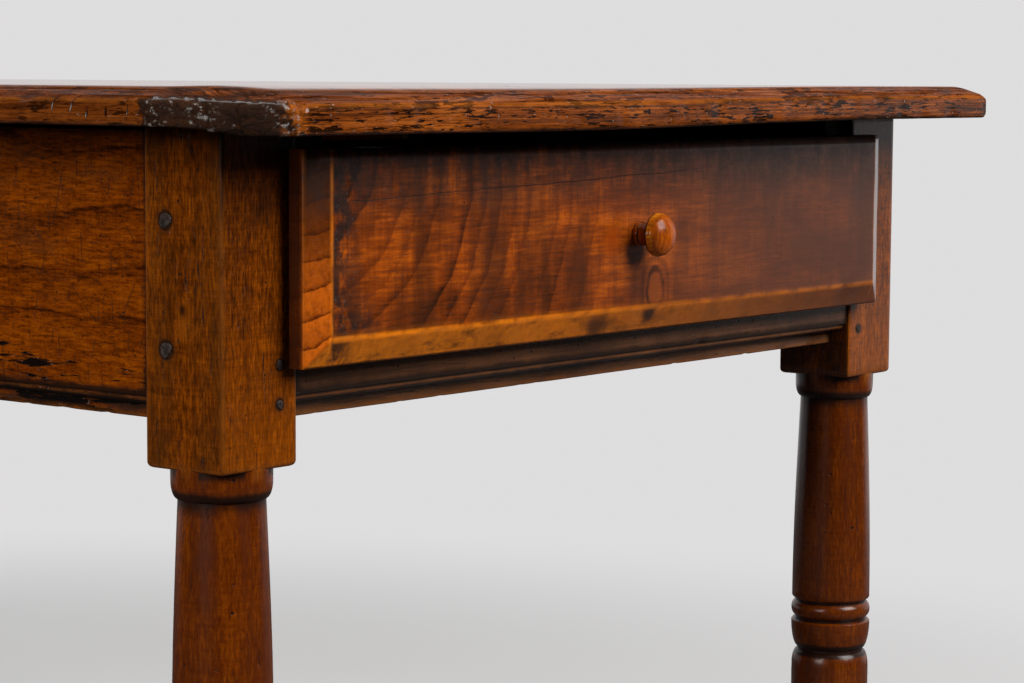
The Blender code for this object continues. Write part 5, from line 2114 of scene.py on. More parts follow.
@dataclass
class Aprons(Assembly):
    """The three aprons and the drawer rail, with the moulding along their lower edge."""

    fascia_recess: float = 0.0155
    fascia_height: float = 0.0076
    cove_top: float = 0.0106
    bead_top: float = 0.0161
    bead_inner: float = 0.0065
    bead_outer: float = 0.0025
    bead_middle: float = 0.0135
    ease: float = 0.0008
    end_span: float = 0.3207
    side_span: float = 0.7617
    spacing: float = 0.0045
    section_spacing: float = 0.004
    worn_reach: float = 0.0045
    foot_grime: float = 0.25

    def section(self, height: float, thickness: float) -> Section:
        """Return a board's section.

        Args:
            height: the board's height.
            thickness: its thickness.

        Returns:
            The outline as depth and height, and how exposed each point of it is.
        """
        ease, recess, top = self.ease, self.fascia_recess, self.bead_top
        cove = arc((self.bead_inner, self.fascia_height),
                   (recess - self.bead_inner, self.cove_top - self.fascia_height), 0, 90, 6)
        bead = arc((self.bead_inner, top), (self.bead_inner - self.bead_outer, top - self.cove_top), 270, 180, 7)
        outline = [(thickness, height), (thickness, 0.0), (recess + ease, 0.0), (recess, ease), *cove, *bead[1:],
                   (ease * 0.4, top), (0.0, top + ease), (0.0, height - ease), (ease, height)]
        dense = densified(outline, self.section_spacing)
        corners = [(recess, 0.0), (self.bead_outer, top - 0.003), (0.0, top)]
        return dense, exposure(dense, corners, self.worn_reach)

    def paint(self, mesh: Mesh, low: float, high: float, depth: Array, ends: Array) -> None:
        """Store arrises, dirt and painted shade at each point of a board.

        Args:
            mesh: the board.
            low: its lower edge's height.
            high: its upper edge's height.
            depth: each point's distance in from the outer face.
            ends: each point's distance from the nearer shoulder.
        """
        height = positions(mesh)[:, 2] - low
        arris = np.max([near(depth, height - self.bead_top, 0.0035, 0.0008) * 0.6,
                        near(depth - self.bead_outer, height - self.bead_middle, 0.003, 0.0012),
                        near(depth - self.fascia_recess, height, 0.003, 0.001)], axis=0)
        # grime: dark in the moulding's hollows and near its foot, and painted shade just under the top and at the
        # shoulders by the legs.
        hollow = ramp(np.abs(height - self.cove_top), 0.0035, 0.001) * 0.7
        quirk = ramp(np.abs(height - self.bead_top), 0.0022, 0.0006) * 0.6
        upper = ramp(high - low - height, 0.03, 0.004) * 0.18
        foot = ramp(height, 0.04, 0.016) * ramp(height, 0.012, 0.018) * self.foot_grime
        joint = ramp(ends, 0.006, 0.001) * 0.6
        carry(mesh, arris=arris * 0.8, mould=ramp(height, self.bead_top + 0.003, self.bead_top - 0.001),
              grime=np.clip(hollow + quirk + upper + foot + joint, 0.0, 1.0))

    def saw(self, board: Board) -> None:
        """Sweep one board and set it over its CAD node.

        Args:
            board: the board.
        """
        node = board.node
        low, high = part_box(node)
        on_side = board.turns % 2 == 1
        span = self.side_span if on_side else self.end_span
        section = self.section(high.z - low.z, high.x - low.x if on_side else high.y - low.y)
        material = WoodMaterial(board.wood, board.cut, board.marks).build(f"{node}_wood")
        mesh = self.shop.sweep.make(straight_path(node, span, self.spacing), section, board.wear, material)
        mesh.transform(LAID_ALONG_X)
        along, depth, _ = positions(mesh).T
        outer = ((0.0, low.y), (high.x, 0.0), (0.0, high.y), (low.x, 0.0))[board.turns]
        mesh.transform(Matrix.Translation((*outer, low.z)) @ Matrix.Rotation(board.turns * QUARTER, 4, "Z"))
        settle(mesh, low, high)
        self.paint(mesh, low.z, high.z, depth, span - np.abs(along))
        self.shop.piece(f"moulded_{node}", mesh, Body.FRAME, [node])

    def side(self, node: str, turns: int, pith: float, seed: float) -> Board:
        """Plan one of the long aprons.

        Args:
            node: its CAD node.
            turns: its quarter turns from facing -Y.
            pith: the X of its pith.
            seed: sets its figure apart.

        Returns:
            The board.
        """
        scratches = ((1.5, 0.013, 0.00075, 0.016, 0.46), (0.75, 0.021, 0.00075, 0.014, 0.44),
                     (1.85, 0.019, 0.00075, 0.02, 0.44), (-0.08, 0.011, 0.0006, 0.01, 0.36))
        marks = (
            ScuffsAndPaintedLight((7, 7, 20), 0.52, 0.8, (0.05, 0.018, 0.006), 0.6, shift=seed),
            *(Scratches(Face.SIDE, *shape, SCRATCHED, seed + number) for number, shape in enumerate(scratches)),
            Pits(Face.SIDE, (0.02, 0.012), 0.06, 0.16, 0.0004, shift=seed),
            Decay(Face.SIDE, (0.566, 0.612), seed + 2.0),
            ScuffsAndPaintedLight((25, 25, 260), 0.28, 0.62, (0.024, 0.0125, 0.0075), 0.85, "mould", seed),
            Decay(Face.SIDE, (0.55, 0.59), seed + 5.0),
            RUBBED,
            GRIME_AND_SHADE,
        )
        cut = Cut(Grain.Y, (pith, 0.4), (0.02, -0.05), seed, sway=(7.0, 12.0, 1.5))
        return Board(node, turns, APRON_WOOD, cut, marks, Wear(0.0003, 0.0016, 80.0, seed))

    def rear(self) -> Board:
        """Plan the apron of the end without a drawer.

        Returns:
            The board.
        """
        marks = (ScuffsAndPaintedLight((7, 7, 20), 0.52, 0.8, (0.05, 0.018, 0.006), 0.6, shift=4.0),
                 Scratches(Face.END, 1.3, 0.045, 0.0004, 0.05, 0.5, SCRATCHED, 3.0),
                 Pits(Face.END, (0.026, 0.014), 0.07, 0.2, 0.0004, shift=6.0), RUBBED, GRIME_AND_SHADE)
        cut = Cut(Grain.X, (0.42, 0.43), (0.03, 0.04), 21.0)
        return Board("apron_rear", 2, APRON_WOOD, cut, marks, Wear(0.0005, 0.002, 80.0, 9.0))

    def rail(self) -> Board:
        """Plan the rail under the drawer.

        Returns:
            The board.
        """
        marks = (ScuffsAndPaintedLight((6, 6, 18), 0.5, 0.78, (0.018, 0.01, 0.007), 0.5, shift=6.0),
                 Pits(Face.END, (0.017, 0.013), 0.075, 0.42, 0.0012, shift=1.0, band=(0.572, 0.601)),
                 Checks((9, 160), 0.012, 0.58, 0.0004, shift=2.0), RUBBED, GRIME_AND_SHADE)
        cut = Cut(Grain.X, (-0.9, 0.5), (0.02, 0.02), 31.0)
        return Board("drawer_rail", 0, RAIL_WOOD, cut, marks, Wear(0.0004, 0.0016, 90.0, 4.0))

    def build(self) -> None:
        """Make the aprons and the rail."""
        left, right = self.side("apron_left", 3, -0.42, 5.0), self.side("apron_right", 1, 0.42, 11.0)
        for board in (left, right, self.rear(), self.rail()):
            self.saw(board)


@dataclass
class Stretchers(Assembly):
    """The H of stretchers between the lower blocks."""

    edge: float = 0.0045
    edge_steps: int = 4
    worn_reach: float = 0.009
    spacing: float = 0.006
    section_spacing: float = 0.004
    end_span: float = 0.3207
    medial_span: float = 0.7797

    def bar(self, node: str, grain: Grain, span: float, seed: float) -> None:
        """Sweep one bar and set it over its CAD node.

        Args:
            node: the CAD node.
            grain: the way that it runs.
            span: half the distance between its shoulders.
            seed: sets its figure and its wear apart.
        """
        low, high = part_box(node)
        centre, half = (low + high) / 2, (high - low) / 2
        side, tall = half.y if grain is Grain.X else half.x, half.z
        section = squared((side, tall), self.edge, self.edge_steps, self.section_spacing, self.worn_reach)
        marks = (ScuffsAndPaintedLight((9, 9, 16), 0.5, 0.78, (0.034, 0.014, 0.006), 0.6, shift=seed),
                 Checks((8, 170), 0.012, 0.58, 0.0005, shift=seed), RUBBED, GRIME_AND_SHADE)
        material = WoodMaterial(LEG_WOOD, Cut(grain, (0.07, 0.1), (0.02, 0.03), seed), marks).build(f"{node}_wood")
        path, wear = straight_path(node, span, self.spacing), Wear(0.0006, 0.0026, 70.0, seed)
        mesh = self.shop.sweep.make(path, section, wear, material)
        turn = 0.0 if grain is Grain.X else QUARTER
        mesh.transform(Matrix.Translation(centre) @ Matrix.Rotation(turn, 4, "Z") @ LAID_ALONG_X)
        x, y, z = positions(mesh).T
        run, beside = (x, y - centre.y) if grain is Grain.X else (y, x - centre.x)
        arris = near(side - np.abs(beside), tall - np.abs(z - centre.z), 0.008, 0.002)
        # grime: painted shade at the shoulders by the legs and on the underside.
        carry(mesh, arris=arris * (z > centre.z),
              grime=ramp(span - np.abs(run), 0.02, 0.002) * 0.6 + (z < low.z + 0.004) * 0.5)
        self.shop.piece(f"worn_{node}", mesh, Body.FRAME, [node])

    def build(self) -> None:
        """Make the three stretchers."""
        self.bar("stretcher_front", Grain.X, self.end_span, 41.0)
        self.bar("stretcher_rear", Grain.X, self.end_span, 43.0)
        self.bar("stretcher_medial", Grain.Y, self.medial_span, 47.0)


@dataclass
class Pegs(Assembly):
    """The riven pegs that hold the joints, a little proud and out of round."""

    sides: int = 18
    proud: float = 0.0006
    sunk: float = 0.003
    girth: float = 0.88
    roundness: float = 0.82
    wobble: float = 0.09
    dome: tuple[Pair, ...] = ((1.0, 0.15), (0.94, 0.5), (0.8, 0.62), (0.45, 0.52), (0.12, 0.42))

    def head(self) -> Object:
        """Return one peg head of unit girth.

        Returns:
            A blunt dome over a short shank, out of round.
        """
        loops: list[list[Triple]] = []
        for radius, height in ((1.0, -self.sunk / self.proud), *self.dome):
            loop: list[Triple] = []
            for side in range(self.sides):
                angle = math.tau * side / self.sides
                wobble = self.wobble * math.sin(3 * angle + 1.0) + self.wobble * math.sin(2 * angle)
                reach = radius * (self.roundness + wobble)
                loop.append((reach * math.cos(angle), reach * math.sin(angle), height))
            loops.append(loop)
        mesh = meshed(lofted(loops), "peg_head")
        x, y, z = positions(mesh).T
        carry(mesh, arris=near(x, y, 0.3, 0.7) * (z > 0.0))
        return placed("peg_head", mesh)

    def build(self) -> None:
        """Set a head over every CAD peg."""
        nodes = sorted(node for node in self.shop.nodes if node.startswith("peg_"))
        mouths, ways, sizes = [], [], []
        for node in nodes:
            low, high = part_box(node)
            mouth, reach = (low + high) / 2, high - low
            axis = {"side": 0, "medial": 2}.get(node.split("_")[1], 1)
            sign = 1.0 if axis == 2 else math.copysign(1.0, mouth[axis])
            mouth[axis] = (high if sign > 0 else low)[axis] - sign * self.proud
            girth = max(reach[other] for other in range(3) if other != axis) / 2 * self.girth
            mouths.append(mouth[:])
            ways.append([sign * (other == axis) for other in range(3)])
            sizes.append((girth, girth, self.proud))
        base, head = wire_object("peg_points", mouths, []), self.head()
        carry(base.data, way=np.array(ways), size=np.array(sizes))
        marks = (ScuffsAndPaintedLight(320, 0.46, 0.62, (0.06, 0.048, 0.042), 0.6, shift=2.0),)
        material = WoodMaterial(PEG_WOOD, Cut(Grain.X, (0.0, 0.0), (0.0, 0.0), 51.0), marks).build("peg_wood")
        mesh = self.shop.pegs.run(base, {"Head": head, **Wear(0.0, 0.0013, 330.0, 3.0).values(material)})
        discard(base, head)
        self.shop.piece("riven_pegs", mesh, Body.FRAME, nodes)


@dataclass
class Drawer(Assembly):
    """The drawer: a lipped, bevelled front, a turned knob and the dovetailed box."""

    lip_edge: float = 0.0118
    bevel_width: float = 0.0185
    bevel_depth: float = 0.008
    bevel_soft: float = 0.0006
    bevel_wander: tuple[Pair, ...] = ((21.0, 0.0011), (75.0, 0.0005))
    bevel_sway: Pair = (0.6, 1.6)
    hollow: Pair = (9.0, 0.00035)
    arris: float = 0.0008
    sample: float = 0.004
    bevel_sample: float = 0.0015
    arris_sample: tuple[float, ...] = (0.0, 0.0005, 0.0011, 0.0018, 0.0026)
    least_sample: float = 0.0004
    knob_rim: float = 0.0152
    knob_rim_thickness: float = 0.0024
    knob_rim_round: float = 0.0012
    knob_dome: float = 0.009
    knob_base: float = 0.0174
    knob_base_height: float = 0.004
    knob_neck: float = 0.0158
    knob_sides: int = 112
    knob_notches: int = 28
    box: tuple[tuple[str, Grain], ...] = (("drawer_side_left", Grain.Y), ("drawer_side_right", Grain.Y),
                                          ("drawer_back", Grain.X), ("drawer_bottom", Grain.X))

    def face_depth(self, x: float, z: float, half: float, low: float) -> float:
        """Return how far the front's face lies behind its highest plane.

        Args:
            x: distance from the middle.
            z: height.
            half: half the front's width.
            low: the front's lower edge.

        Returns:
            The depth, 0 on the field and growing down the bevels, with hand-planed arrises.
        """
        place = Vector((x, 0.0, z))
        wander = sum(depth * noise.noise(place * pitch) for pitch, depth in self.bevel_wander)
        side = (self.bevel_width - (half - abs(x))) + wander * self.bevel_sway[0]
        below = (self.bevel_width - (z - low)) + wander * self.bevel_sway[1]
        slope = self.bevel_depth / self.bevel_width
        ends = [0.5 * (gap + math.hypot(gap, self.bevel_soft)) * slope for gap in (side, below)]
        hollow = self.hollow[1] * (0.5 + 0.5 * noise.noise(place * self.hollow[0]))
        return min(self.bevel_depth + 0.0004, max(ends) + hollow)

    def grid_lines(self, start: float, end: float, marks: Sequence[float]) -> list[float]:
        """Return grid lines for one side of the front.

        Args:
            start: the first line.
            end: the last line.
            marks: the arrises, round which the lines are closer together.

        Returns:
            The lines in order.
        """
        lines = set(spread(start, end, self.sample))
        for mark in marks:
            edge = start if mark - start < end - mark else end
            lines |= set(spread(edge, mark, self.bevel_sample))
            lines |= {mark + sign * offset for offset in self.arris_sample for sign in (-1, 1)}
        kept: list[float] = []
        for value in sorted(round(line, 5) for line in lines):
            if start <= value <= end and (not kept or value - kept[-1] > self.least_sample):
                kept.append(value)
        kept[-1] = end
        return kept

    def front(self) -> None:
        """Make the lipped front: a worn panel over the CAD front's own tongue and sockets."""
        low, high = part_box("drawer_front")
        half, lip = high.x, low.y + self.bevel_depth
        back = lip + self.lip_edge
        xs = self.grid_lines(-half, half, (-half + self.bevel_width, half - self.bevel_width))
        zs = self.grid_lines(low.z, high.z, (low.z + self.bevel_width,))
        shape = bmesh.new()
        grid = [[shape.verts.new((x, low.y + self.face_depth(x, z, half, low.z), z)) for x in xs] for z in zs]
        for row, above in zip(grid, grid[1:]):
            for index in range(len(xs) - 1):
                shape.faces.new((row[index], row[index + 1], above[index + 1], above[index]))
        for depth in (lip + 0.0016, lip + 0.004, back):
            grown = bmesh.ops.extrude_edge_only(shape, edges=[edge for edge in shape.edges if edge.is_boundary])
            for vert in (item for item in grown["geom"] if isinstance(item, BMVert)):
                vert.co.y = depth
        bmesh.ops.holes_fill(shape, edges=[edge for edge in shape.edges if edge.is_boundary], sides=0)
        arris = [edge for edge in shape.edges if not edge.is_boundary and edge.calc_face_angle(0.0) > 0.9
                 and all(vert.co.y < lip + 0.001 for vert in edge.verts)]
        bmesh.ops.bevel(shape, geom=arris, offset=self.arris, segments=2, affect="EDGES")
        bmesh.ops.recalc_face_normals(shape, faces=shape.faces[:])
        self.add_tongue(shape, self.shop.nodes["drawer_front"], back)
        mesh = meshed(shape, "drawer_front")
        mesh.materials.append(self.front_material(half))
        self.paint_front(mesh, low, high)
        self.shop.piece("lipped_drawer_front", mesh, Body.DRAWER, ["drawer_front"])

    def add_tongue(self, shape: BMesh, source: Object, back: float) -> None:
        """Add the part of the CAD front that lies behind the lip, closed where it is cut.

        Args:
            shape: the lipped panel, which gets the tongue.
            source: the CAD front.
            back: the Y of the lip's back.
        """
        tongue = bmesh.new()
        tongue.from_mesh(source.data)
        bmesh.ops.remove_doubles(tongue, verts=tongue.verts[:], dist=1e-6)
        sawn(tongue, (0, back + 0.0001, 0), (0, -1, 0))
        kept = meshed(tongue, "tongue")
        shape.from_mesh(kept)
        bpy.data.meshes.remove(kept)

    def paint_front(self, mesh: Mesh, low: Vector, high: Vector) -> None:
        """Store arrises, bevels, dirt and painted shade at each point of the front.

        Args:
            mesh: the front.
            low: the lower corner of its box.
            high: the upper corner of its box.
        """
        x, y, z = positions(mesh).T
        width, lip_y = self.bevel_width, low.y + self.bevel_depth
        aside, beyond, above, under = high.x + x, high.x - x, z - low.z, z - high.z
        edge = np.minimum(aside, beyond)
        inner, over = edge - width, above - width
        on_face = ramp(y, lip_y + 0.0018, lip_y + 0.001)
        arris = np.max([ramp(np.abs(inner), 0.0017, 0.0003) * (above > width * 0.5) * 0.6,
                        ramp(np.abs(over), 0.0032, 0.0004) * (edge > width * 0.9),
                        ramp(np.minimum(edge, above), 0.003, 0.0006) * 0.6], axis=0)
        lip = ramp(y, lip_y + 0.0006, lip_y + 0.003)
        on_left = (inner > -0.0004) * (x < 0.0)
        beside = np.maximum(ramp(inner, 0.034, 0.006), near(inner, over * 1.5, 0.06, 0.02) * (over > 0.0)) * on_left
        mitre = ramp(above - aside, -0.0008, 0.0008)
        left, right, sill = (ramp(gap, width + 0.0006, width - 0.0006) for gap in (aside, beyond, above))
        bevel = left * mitre * on_face
        carry(
            mesh,
            # arris: strongest towards the left end; the bright colour laid on it is a painted highlight.
            arris=arris * on_face * (0.35 + 0.65 * ramp(x, 0.1, -0.12)),
            # drip: the top band, where dark smears are laid that are partly painted shade under the top.
            drip=ramp(under, -0.05, -0.02) * on_face,
            lip=lip,
            # grime: darker on the lip, and painted shade along the top band under the top.
            grime=np.clip(lip * 0.3 + ramp(under, -0.03, 0.0) * 0.45 * on_face, 0.0, 1.0),
            # dull: near the left bevel and the lower left, where the finish is worn dark, and along the top band,
            # where the dark laid on it is painted shade under the top.
            dull=np.clip(beside + ramp(under, -0.06, 0.0) * 0.7, 0.0, 1.0) * on_face,
            bevel=bevel,
            shaded=bevel * ramp(under + aside * 0.3, -0.098, -0.034),
            facet=right * on_face * ramp(above, 0.01, 0.022),
            sill=sill * (1.0 - mitre) * on_face * ramp(x, 0.42, -0.3),
            far=ramp(x, -0.09, 0.14) * on_face,
        )

    def front_material(self, half: float) -> Material:
        """Return the front's wood: sweeping rings at one end, curl, a knot, a long crack, and the knob's painted
        reflection and painted shadow.

        Args:
            half: half the front's width.

        Returns:
            The material.
        """
        cut = Cut(Grain.X, (-half - 0.002, 0.722), (0.0, 0.0), 61.0, crosswise=True, fade=(-0.17, 0.0))
        umber, black = (0.034, 0.0092, 0.003), (0.01, 0.0042, 0.0026)
        marks = (
            Curl(Face.END, (0.045, 0.3), 0.72, umber, (0.5, 0.68), 2.6),
            Curl(Face.END, (0.018, 0.1), 0.46, umber, (0.5, 0.74), 7.1),
            # Painted reflection of the knob: an orange glow beside it on the polished front.
            Spot(Face.END, (-0.031, 0.657), (0.014, 0.017), (0.26, 0.038, 0.0012), 0.85),
            Spot(Face.END, (0.29, 0.676), (0.016, 0.022), (0.02, 0.008, 0.005), 0.75),
            # Painted shadow of the knob below its base.
            Spot(Face.END, (-0.005, 0.628), (0.016, 0.03), (0.02, 0.007, 0.004), 0.6),
            ScuffsAndPaintedLight(4, 0.1, 0.4, (0.056, 0.018, 0.0085), 0.8, "far", 1.0),
            # The sill's pale tone is partly painted light, making up for the light that the down-facing bevel does
            # not get.
            Planed("sill", (0.5, 0.132, 0.002), (0.15, 0.036, 0.001), 46.0, 0.06, 0.0),
            ScuffsAndPaintedLight((26, 26, 90), 0.5, 0.66, (0.03, 0.01, 0.0016), 0.75, "sill", 9.5),
            Planed("bevel", (0.51, 0.104, 0.0045), (0.09, 0.014, 0.0008), 58.0, -0.3),
            Stain("shaded", (0.038, 0.008, 0.001), 0.84),
            Spot(Face.END, (-0.045, 0.597), (0.022, 0.016), (0.014, 0.006, 0.003), 0.85),
            Knot(Face.END, (0.02, 0.6195), (0.011, 0.0135), (0.016, 0.0055, 0.003), (0.19, 0.042, 0.006)),
            Spot(Face.END, (0.016, 0.6015), (0.011, 0.011), (0.012, 0.005, 0.003), 0.9),
            ScuffsAndPaintedLight((9, 9, 13), 0.52, 0.76, umber, 0.5, shift=4.4),
            # Dark smears down from the top, partly painted shade under the top.
            ScuffsAndPaintedLight((110, 110, 9), 0.28, 0.62, (0.034, 0.018, 0.012), 0.55, "drip", 2.2),
            SplitAndGlint(Face.END, (-0.301, 0.6895), (0.075, 0.7012), 0.0005),
            # Black patches on the dull area: worn finish by the left bevel, painted shade along the top; the pale
            # specks after them are painted glints.
            ScuffsAndPaintedLight((70, 70, 60), 0.34, 0.56, black, 0.9, "dull", 5.5),
            ScuffsAndPaintedLight(380, 0.6, 0.7, (0.075, 0.062, 0.055), 0.8, "dull", 1.5),
            Pits(Face.END, (0.03, 0.024), 0.03, 0.16, 0.0004, shift=7.2),
            # Painted highlight along the arrises, over rubbed wear.
            RubbedAndHighlit((0.7, 0.18, 0.006), 0.85),
            Stain("lip", (0.028, 0.005, 0.0009), 0.85),
            GRIME_AND_SHADE,
            Polish(0.34, "far"),
            Polish(0.3, "facet"),
            Polish(-0.1, "bevel"),
        )
        return WoodMaterial(FRONT_WOOD, cut, marks).build("drawer_front_wood")

    def knob_profile(self, rim: float) -> tuple[list[Pair], float]:
        """Return the knob's turned profile.

        Args:
            rim: the radius of its rim.

        Returns:
            Height and radius of its stations from the drawer's front out, and the height of its base.
        """
        neck, base, thick = self.knob_neck / 2, self.knob_base / 2, self.knob_rim_thickness
        round_rim = self.knob_rim_round
        bead = arc((neck, 0.0003 + self.knob_base_height / 2), (base - neck, self.knob_base_height / 2), -90, 90, 10)
        top = bead[-1][1]
        under = arc((rim, top), (neck - rim, self.knob_rim - top), 0, 88, 12)[1:]
        edge = arc((rim - round_rim, self.knob_rim + thick / 2), (round_rim, thick / 2), -70, 40, 6)
        dome = arc((0.0, self.knob_rim + thick * 0.9), (rim - 0.0003, self.knob_dome + thick * 0.1), 6, 89, 18)
        stations: list[Pair] = []
        for radius, height in [(neck * 0.8, -0.004), *bead, *under, *edge, *dome]:
            if not stations or height > stations[-1][0] + 1e-5:
                stations.append((height, radius))
        return stations, top

    def knob(self) -> None:
        """Turn the knob and set it over its CAD node."""
        low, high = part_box("drawer_knob")
        front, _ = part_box("drawer_front")
        centre, rim = (low + high) / 2, (high.x - low.x) / 2
        stations, base = self.knob_profile(rim)
        angles = [math.tau * side / self.knob_sides for side in range(self.knob_sides)]
        section = [(math.cos(angle), math.sin(angle)) for angle in angles], [0.0] * self.knob_sides
        cut = Cut(Grain.Z, (centre.x + 0.004, front.y - 0.02), (0.0, 0.0), 71.0)
        # The bright arris colour paints a highlight in dots round the rim.
        marks = (ScuffsAndPaintedLight((90, 90, 60), 0.5, 0.75, (0.1, 0.026, 0.004), 0.7, shift=3.0),
                 RubbedAndHighlit((0.8, 0.26, 0.012), 0.9), GRIME_AND_SHADE)
        material = WoodMaterial(KNOB_WOOD, cut, marks).build("drawer_knob_wood")
        path = path_object("knob_path", stations)
        mesh = self.shop.sweep.make(path, section, Wear(0.0002, 0.0, 60.0, 8.0), material)
        mesh.transform(Matrix.Translation((centre.x, front.y, centre.z)) @ Matrix.Rotation(QUARTER, 4, "X"))
        settle(mesh, low, high)
        x, y, z = positions(mesh).T
        out, across, up = front.y - y, x - centre.x, z - centre.z
        notches = 0.5 + 0.5 * np.sin(np.arctan2(up, across) * self.knob_notches)
        # grime: dark round the base and the neck, and in a notched ring at the rim; this is painted shade.
        grime = (ramp(np.abs(out - base), 0.0014, 0.0004) * 0.5 + ramp(out, 0.0012, 0.0002) * 0.5
                 + ramp(np.abs(out - self.knob_rim), 0.002, 0.0006) * (0.45 + 0.5 * notches))
        carry(mesh, grime=np.clip(grime, 0.0, 1.0),
              arris=near(across, up, rim - 0.0016, rim - 0.0003) * (0.35 + 0.65 * notches))
        self.shop.piece("turned_drawer_knob", mesh, Body.DRAWER, ["drawer_knob"])

    def build(self) -> None:
        """Make the front and knob, and dress the box."""
        self.front()
        self.knob()
        for number, (node, grain) in enumerate(self.box):
            self.shop.dress(node, plain_wood(node, grain, 81.0 + 3.0 * number, INNER_WOOD))


@dataclass
class Bearers(Assembly):
    """The unseen woodwork under the top: battens, runners, guides and kickers."""

    battens: tuple[str, ...] = ("top_batten_1", "top_batten_2", "top_batten_3")
    sides: tuple[str, ...] = ("left", "right")
    kinds: tuple[str, ...] = ("runner", "guide", "kicker")

    def build(self) -> None:
        """Dress each piece in near-black wood, painted shade for the gap over the drawer."""
        pieces = [(node, Grain.X) for node in self.battens]
        pieces += [(f"drawer_{kind}_{side}", Grain.Y) for side in self.sides for kind in self.kinds]
        for number, (node, grain) in enumerate(pieces):
            self.shop.dress(node, plain_wood(node, grain, 101.0 + 2.3 * number, SHADE_DARK_BEARER_WOOD))


@dataclass(frozen=True)
class Softbox:
    """One soft studio lamp."""

    name: str
    place: Triple
    target: Triple
    size: Pair
    power: float
    colour: Colour = (1.0, 1.0, 1.0)

    def build(self) -> None:
        """Add the lamp to the scene."""
        data = bpy.data.lights.new(self.name, "AREA")
        data.shape = "RECTANGLE"
        data.size, data.size_y = self.size
        data.energy = self.power
        data.color = self.colour
        lamp = placed(self.name, data)
        lamp.location = self.place
        aim = Vector(self.target) - Vector(self.place)
        lamp.rotation_euler = aim.to_track_quat("-Z", "Y").to_euler()


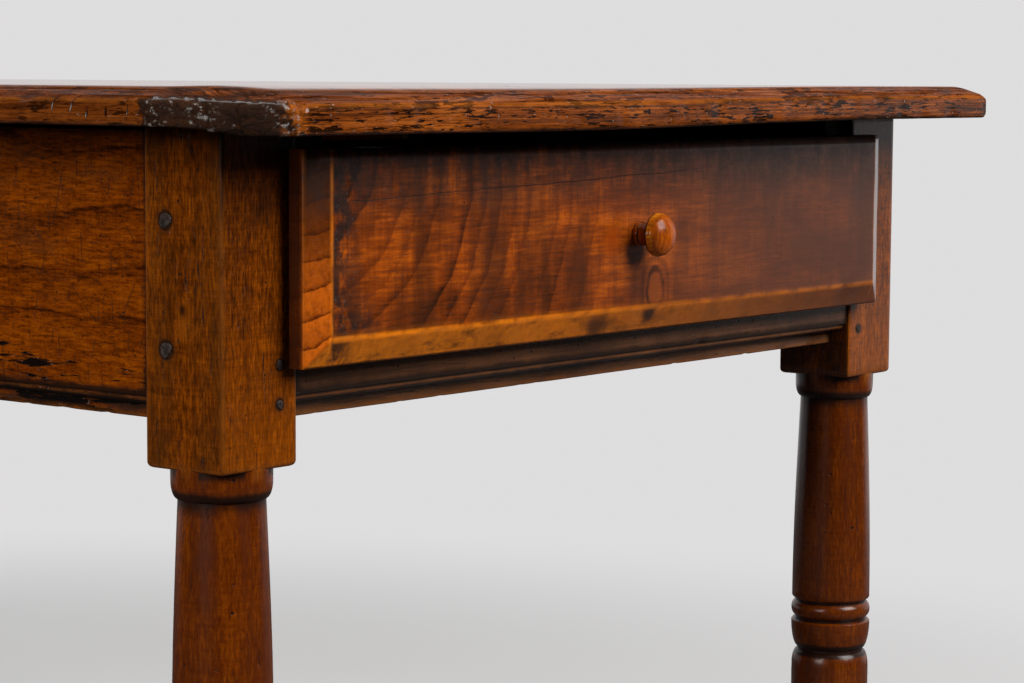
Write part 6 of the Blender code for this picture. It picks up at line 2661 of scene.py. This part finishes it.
@dataclass
class Studio:
    """A plain pale floor, soft lamps, a pale world and the camera."""

    camera_place: Triple = (-1.52814, -1.94608, 0.76552)
    yaw: float = math.radians(51.7049)
    pitch: float = math.radians(5.5621)
    roll: float = math.radians(0.3317)
    focal: float = 2717.07
    frame_width: float = 1024.0
    sensor: float = 36.0
    clip_end: float = 100.0
    backdrop: Colour = (0.735, 0.725, 0.728)
    wall: Pair = (0.13, 0.48)
    wall_light: float = 0.3
    dim: float = 0.012
    floor_paint: float = 0.58
    floor_bounce: float = 0.05
    floor_sheen: float = 0.08
    floor_radius: float = 30.0
    floor_fade: Pair = (1.0, 2.2)
    mirrored_fade: Pair = (2.0, 4.0)
    lamps: tuple[Softbox, ...] = (
        Softbox("front", (0.55, -3.1, 2.22), (0.0, -0.83, 0.6), (1.8, 1.8), 134.0, WARM),
        Softbox("left", (-3.3, -0.75, 1.66), (-0.4, -0.6, 0.6), (1.1, 1.5), 86.0, WARM),
        Softbox("overhead", (0.4, 0.3, 4.4), (0.4, 0.3, 0.0), (1.6, 1.6), 100.0))

    def camera(self) -> None:
        """Stand the camera where the photograph was taken from."""
        data = bpy.data.cameras.new("camera")
        data.sensor_fit = "HORIZONTAL"
        data.sensor_width = self.sensor
        data.lens = self.focal / self.frame_width * self.sensor
        data.clip_end = self.clip_end
        forward = Vector((math.sin(self.yaw) * math.cos(self.pitch), math.cos(self.yaw) * math.cos(self.pitch),
                          -math.sin(self.pitch)))
        level = forward.cross(Vector((0, 0, 1))).normalized()
        upright = level.cross(forward)
        right = level * math.cos(self.roll) + upright * math.sin(self.roll)
        up = upright * math.cos(self.roll) - level * math.sin(self.roll)
        turn = Matrix((right, up, -forward)).transposed()
        made = placed("camera", data)
        made.matrix_world = Matrix.Translation(self.camera_place) @ turn.to_4x4()
        bpy.context.scene.camera = made

    def rays(self, tree: Tree) -> tuple[Wire, Wire]:
        """Return whether a ray comes from the camera, and whether from a mirrored surface."""
        camera = tree.node("ShaderNodeLightPath", None, None, "Is Camera Ray")
        return camera, tree.other(camera, "Is Glossy Ray") + tree.other(camera, "Is Transmission Ray")

    def world(self) -> None:
        """Light the room dimly, brighter behind the table, with a pale backdrop for the camera."""
        world = bpy.data.worlds.new("studio")
        tree = emptied(world)
        way = tree.node("ShaderNodeTexCoord", None, None, "Generated")
        behind = (math.sin(self.yaw), math.cos(self.yaw), 0.0)
        wall = tree.vector("DOT_PRODUCT", {0: way, 1: behind}, "Value").rise(*self.wall)
        camera, mirrored = self.rays(tree)
        pale = (camera + mirrored * wall).least(1.0)
        strength = pale + (1.0 - pale) * (wall * self.wall_light + self.dim)
        light = tree.node("ShaderNodeBackground", None, {"Color": (*self.backdrop, 1.0), "Strength": strength})
        tree.node("ShaderNodeOutputWorld", None, {"Surface": light})
        bpy.context.scene.world = world

    def floor_material(self) -> Material:
        """Return pale paint that fades into the backdrop, far off.

        Returns:
            The material.
        """
        material = bpy.data.materials.new("floor_paint")
        tree = emptied(material)
        point = tree.parts(tree.node("ShaderNodeTexCoord", None, None, "Object"))
        reach = point["X"].hypot(point["Y"])
        camera, mirrored = self.rays(tree)
        behind = (point["X"] * math.sin(self.yaw) + point["Y"] * math.cos(self.yaw)) / reach.most(0.01)
        wall = camera.most(behind.rise(*self.wall))
        seen = (camera + mirrored * self.floor_sheen).least(1.0)
        tone = self.floor_bounce + seen * (self.floor_paint - self.floor_bounce)
        paint = tree.node("ShaderNodeBsdfDiffuse", None, {"Color": tree.joined(tone, tone, tone)})
        shine = tree.joined(*(wall * channel for channel in self.backdrop))
        far = tree.node("ShaderNodeEmission", None, {"Color": shine, "Strength": 1.0})
        share = reach.rise(*self.floor_fade) * camera + reach.rise(*self.mirrored_fade) * mirrored
        both = tree.node("ShaderNodeMixShader", None, {0: share.least(1.0), 1: paint, 2: far})
        tree.node("ShaderNodeOutputMaterial", None, {"Surface": both})
        return material

    def floor(self) -> None:
        """Lay a floor that keeps the table's shadow."""
        shape = bmesh.new()
        bmesh.ops.create_circle(shape, cap_ends=True, segments=96, radius=self.floor_radius)
        mesh = meshed(shape, "floor")
        mesh.materials.append(self.floor_material())
        placed("floor", mesh)

    def build(self) -> None:
        """Set up the whole studio."""
        bpy.context.scene.view_settings.view_transform = "Standard"
        self.camera()
        self.world()
        self.floor()
        for lamp in self.lamps:
            lamp.build()


def main() -> None:
    """Build the table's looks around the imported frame."""
    logging.basicConfig(level=logging.INFO, format="%(name)s %(message)s")
    for existing in list(bpy.data.objects):
        bpy.data.objects.remove(existing, do_unlink=True)
    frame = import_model()
    Studio().build()
    shop = Workshop(frame)
    for assembly in (Tabletop, Legs, Aprons, Stretchers, Pegs, Drawer, Bearers):
        assembly(shop).build()
        LOG.info("%s: done", assembly.__name__)


if __name__ == "__main__":
    main()
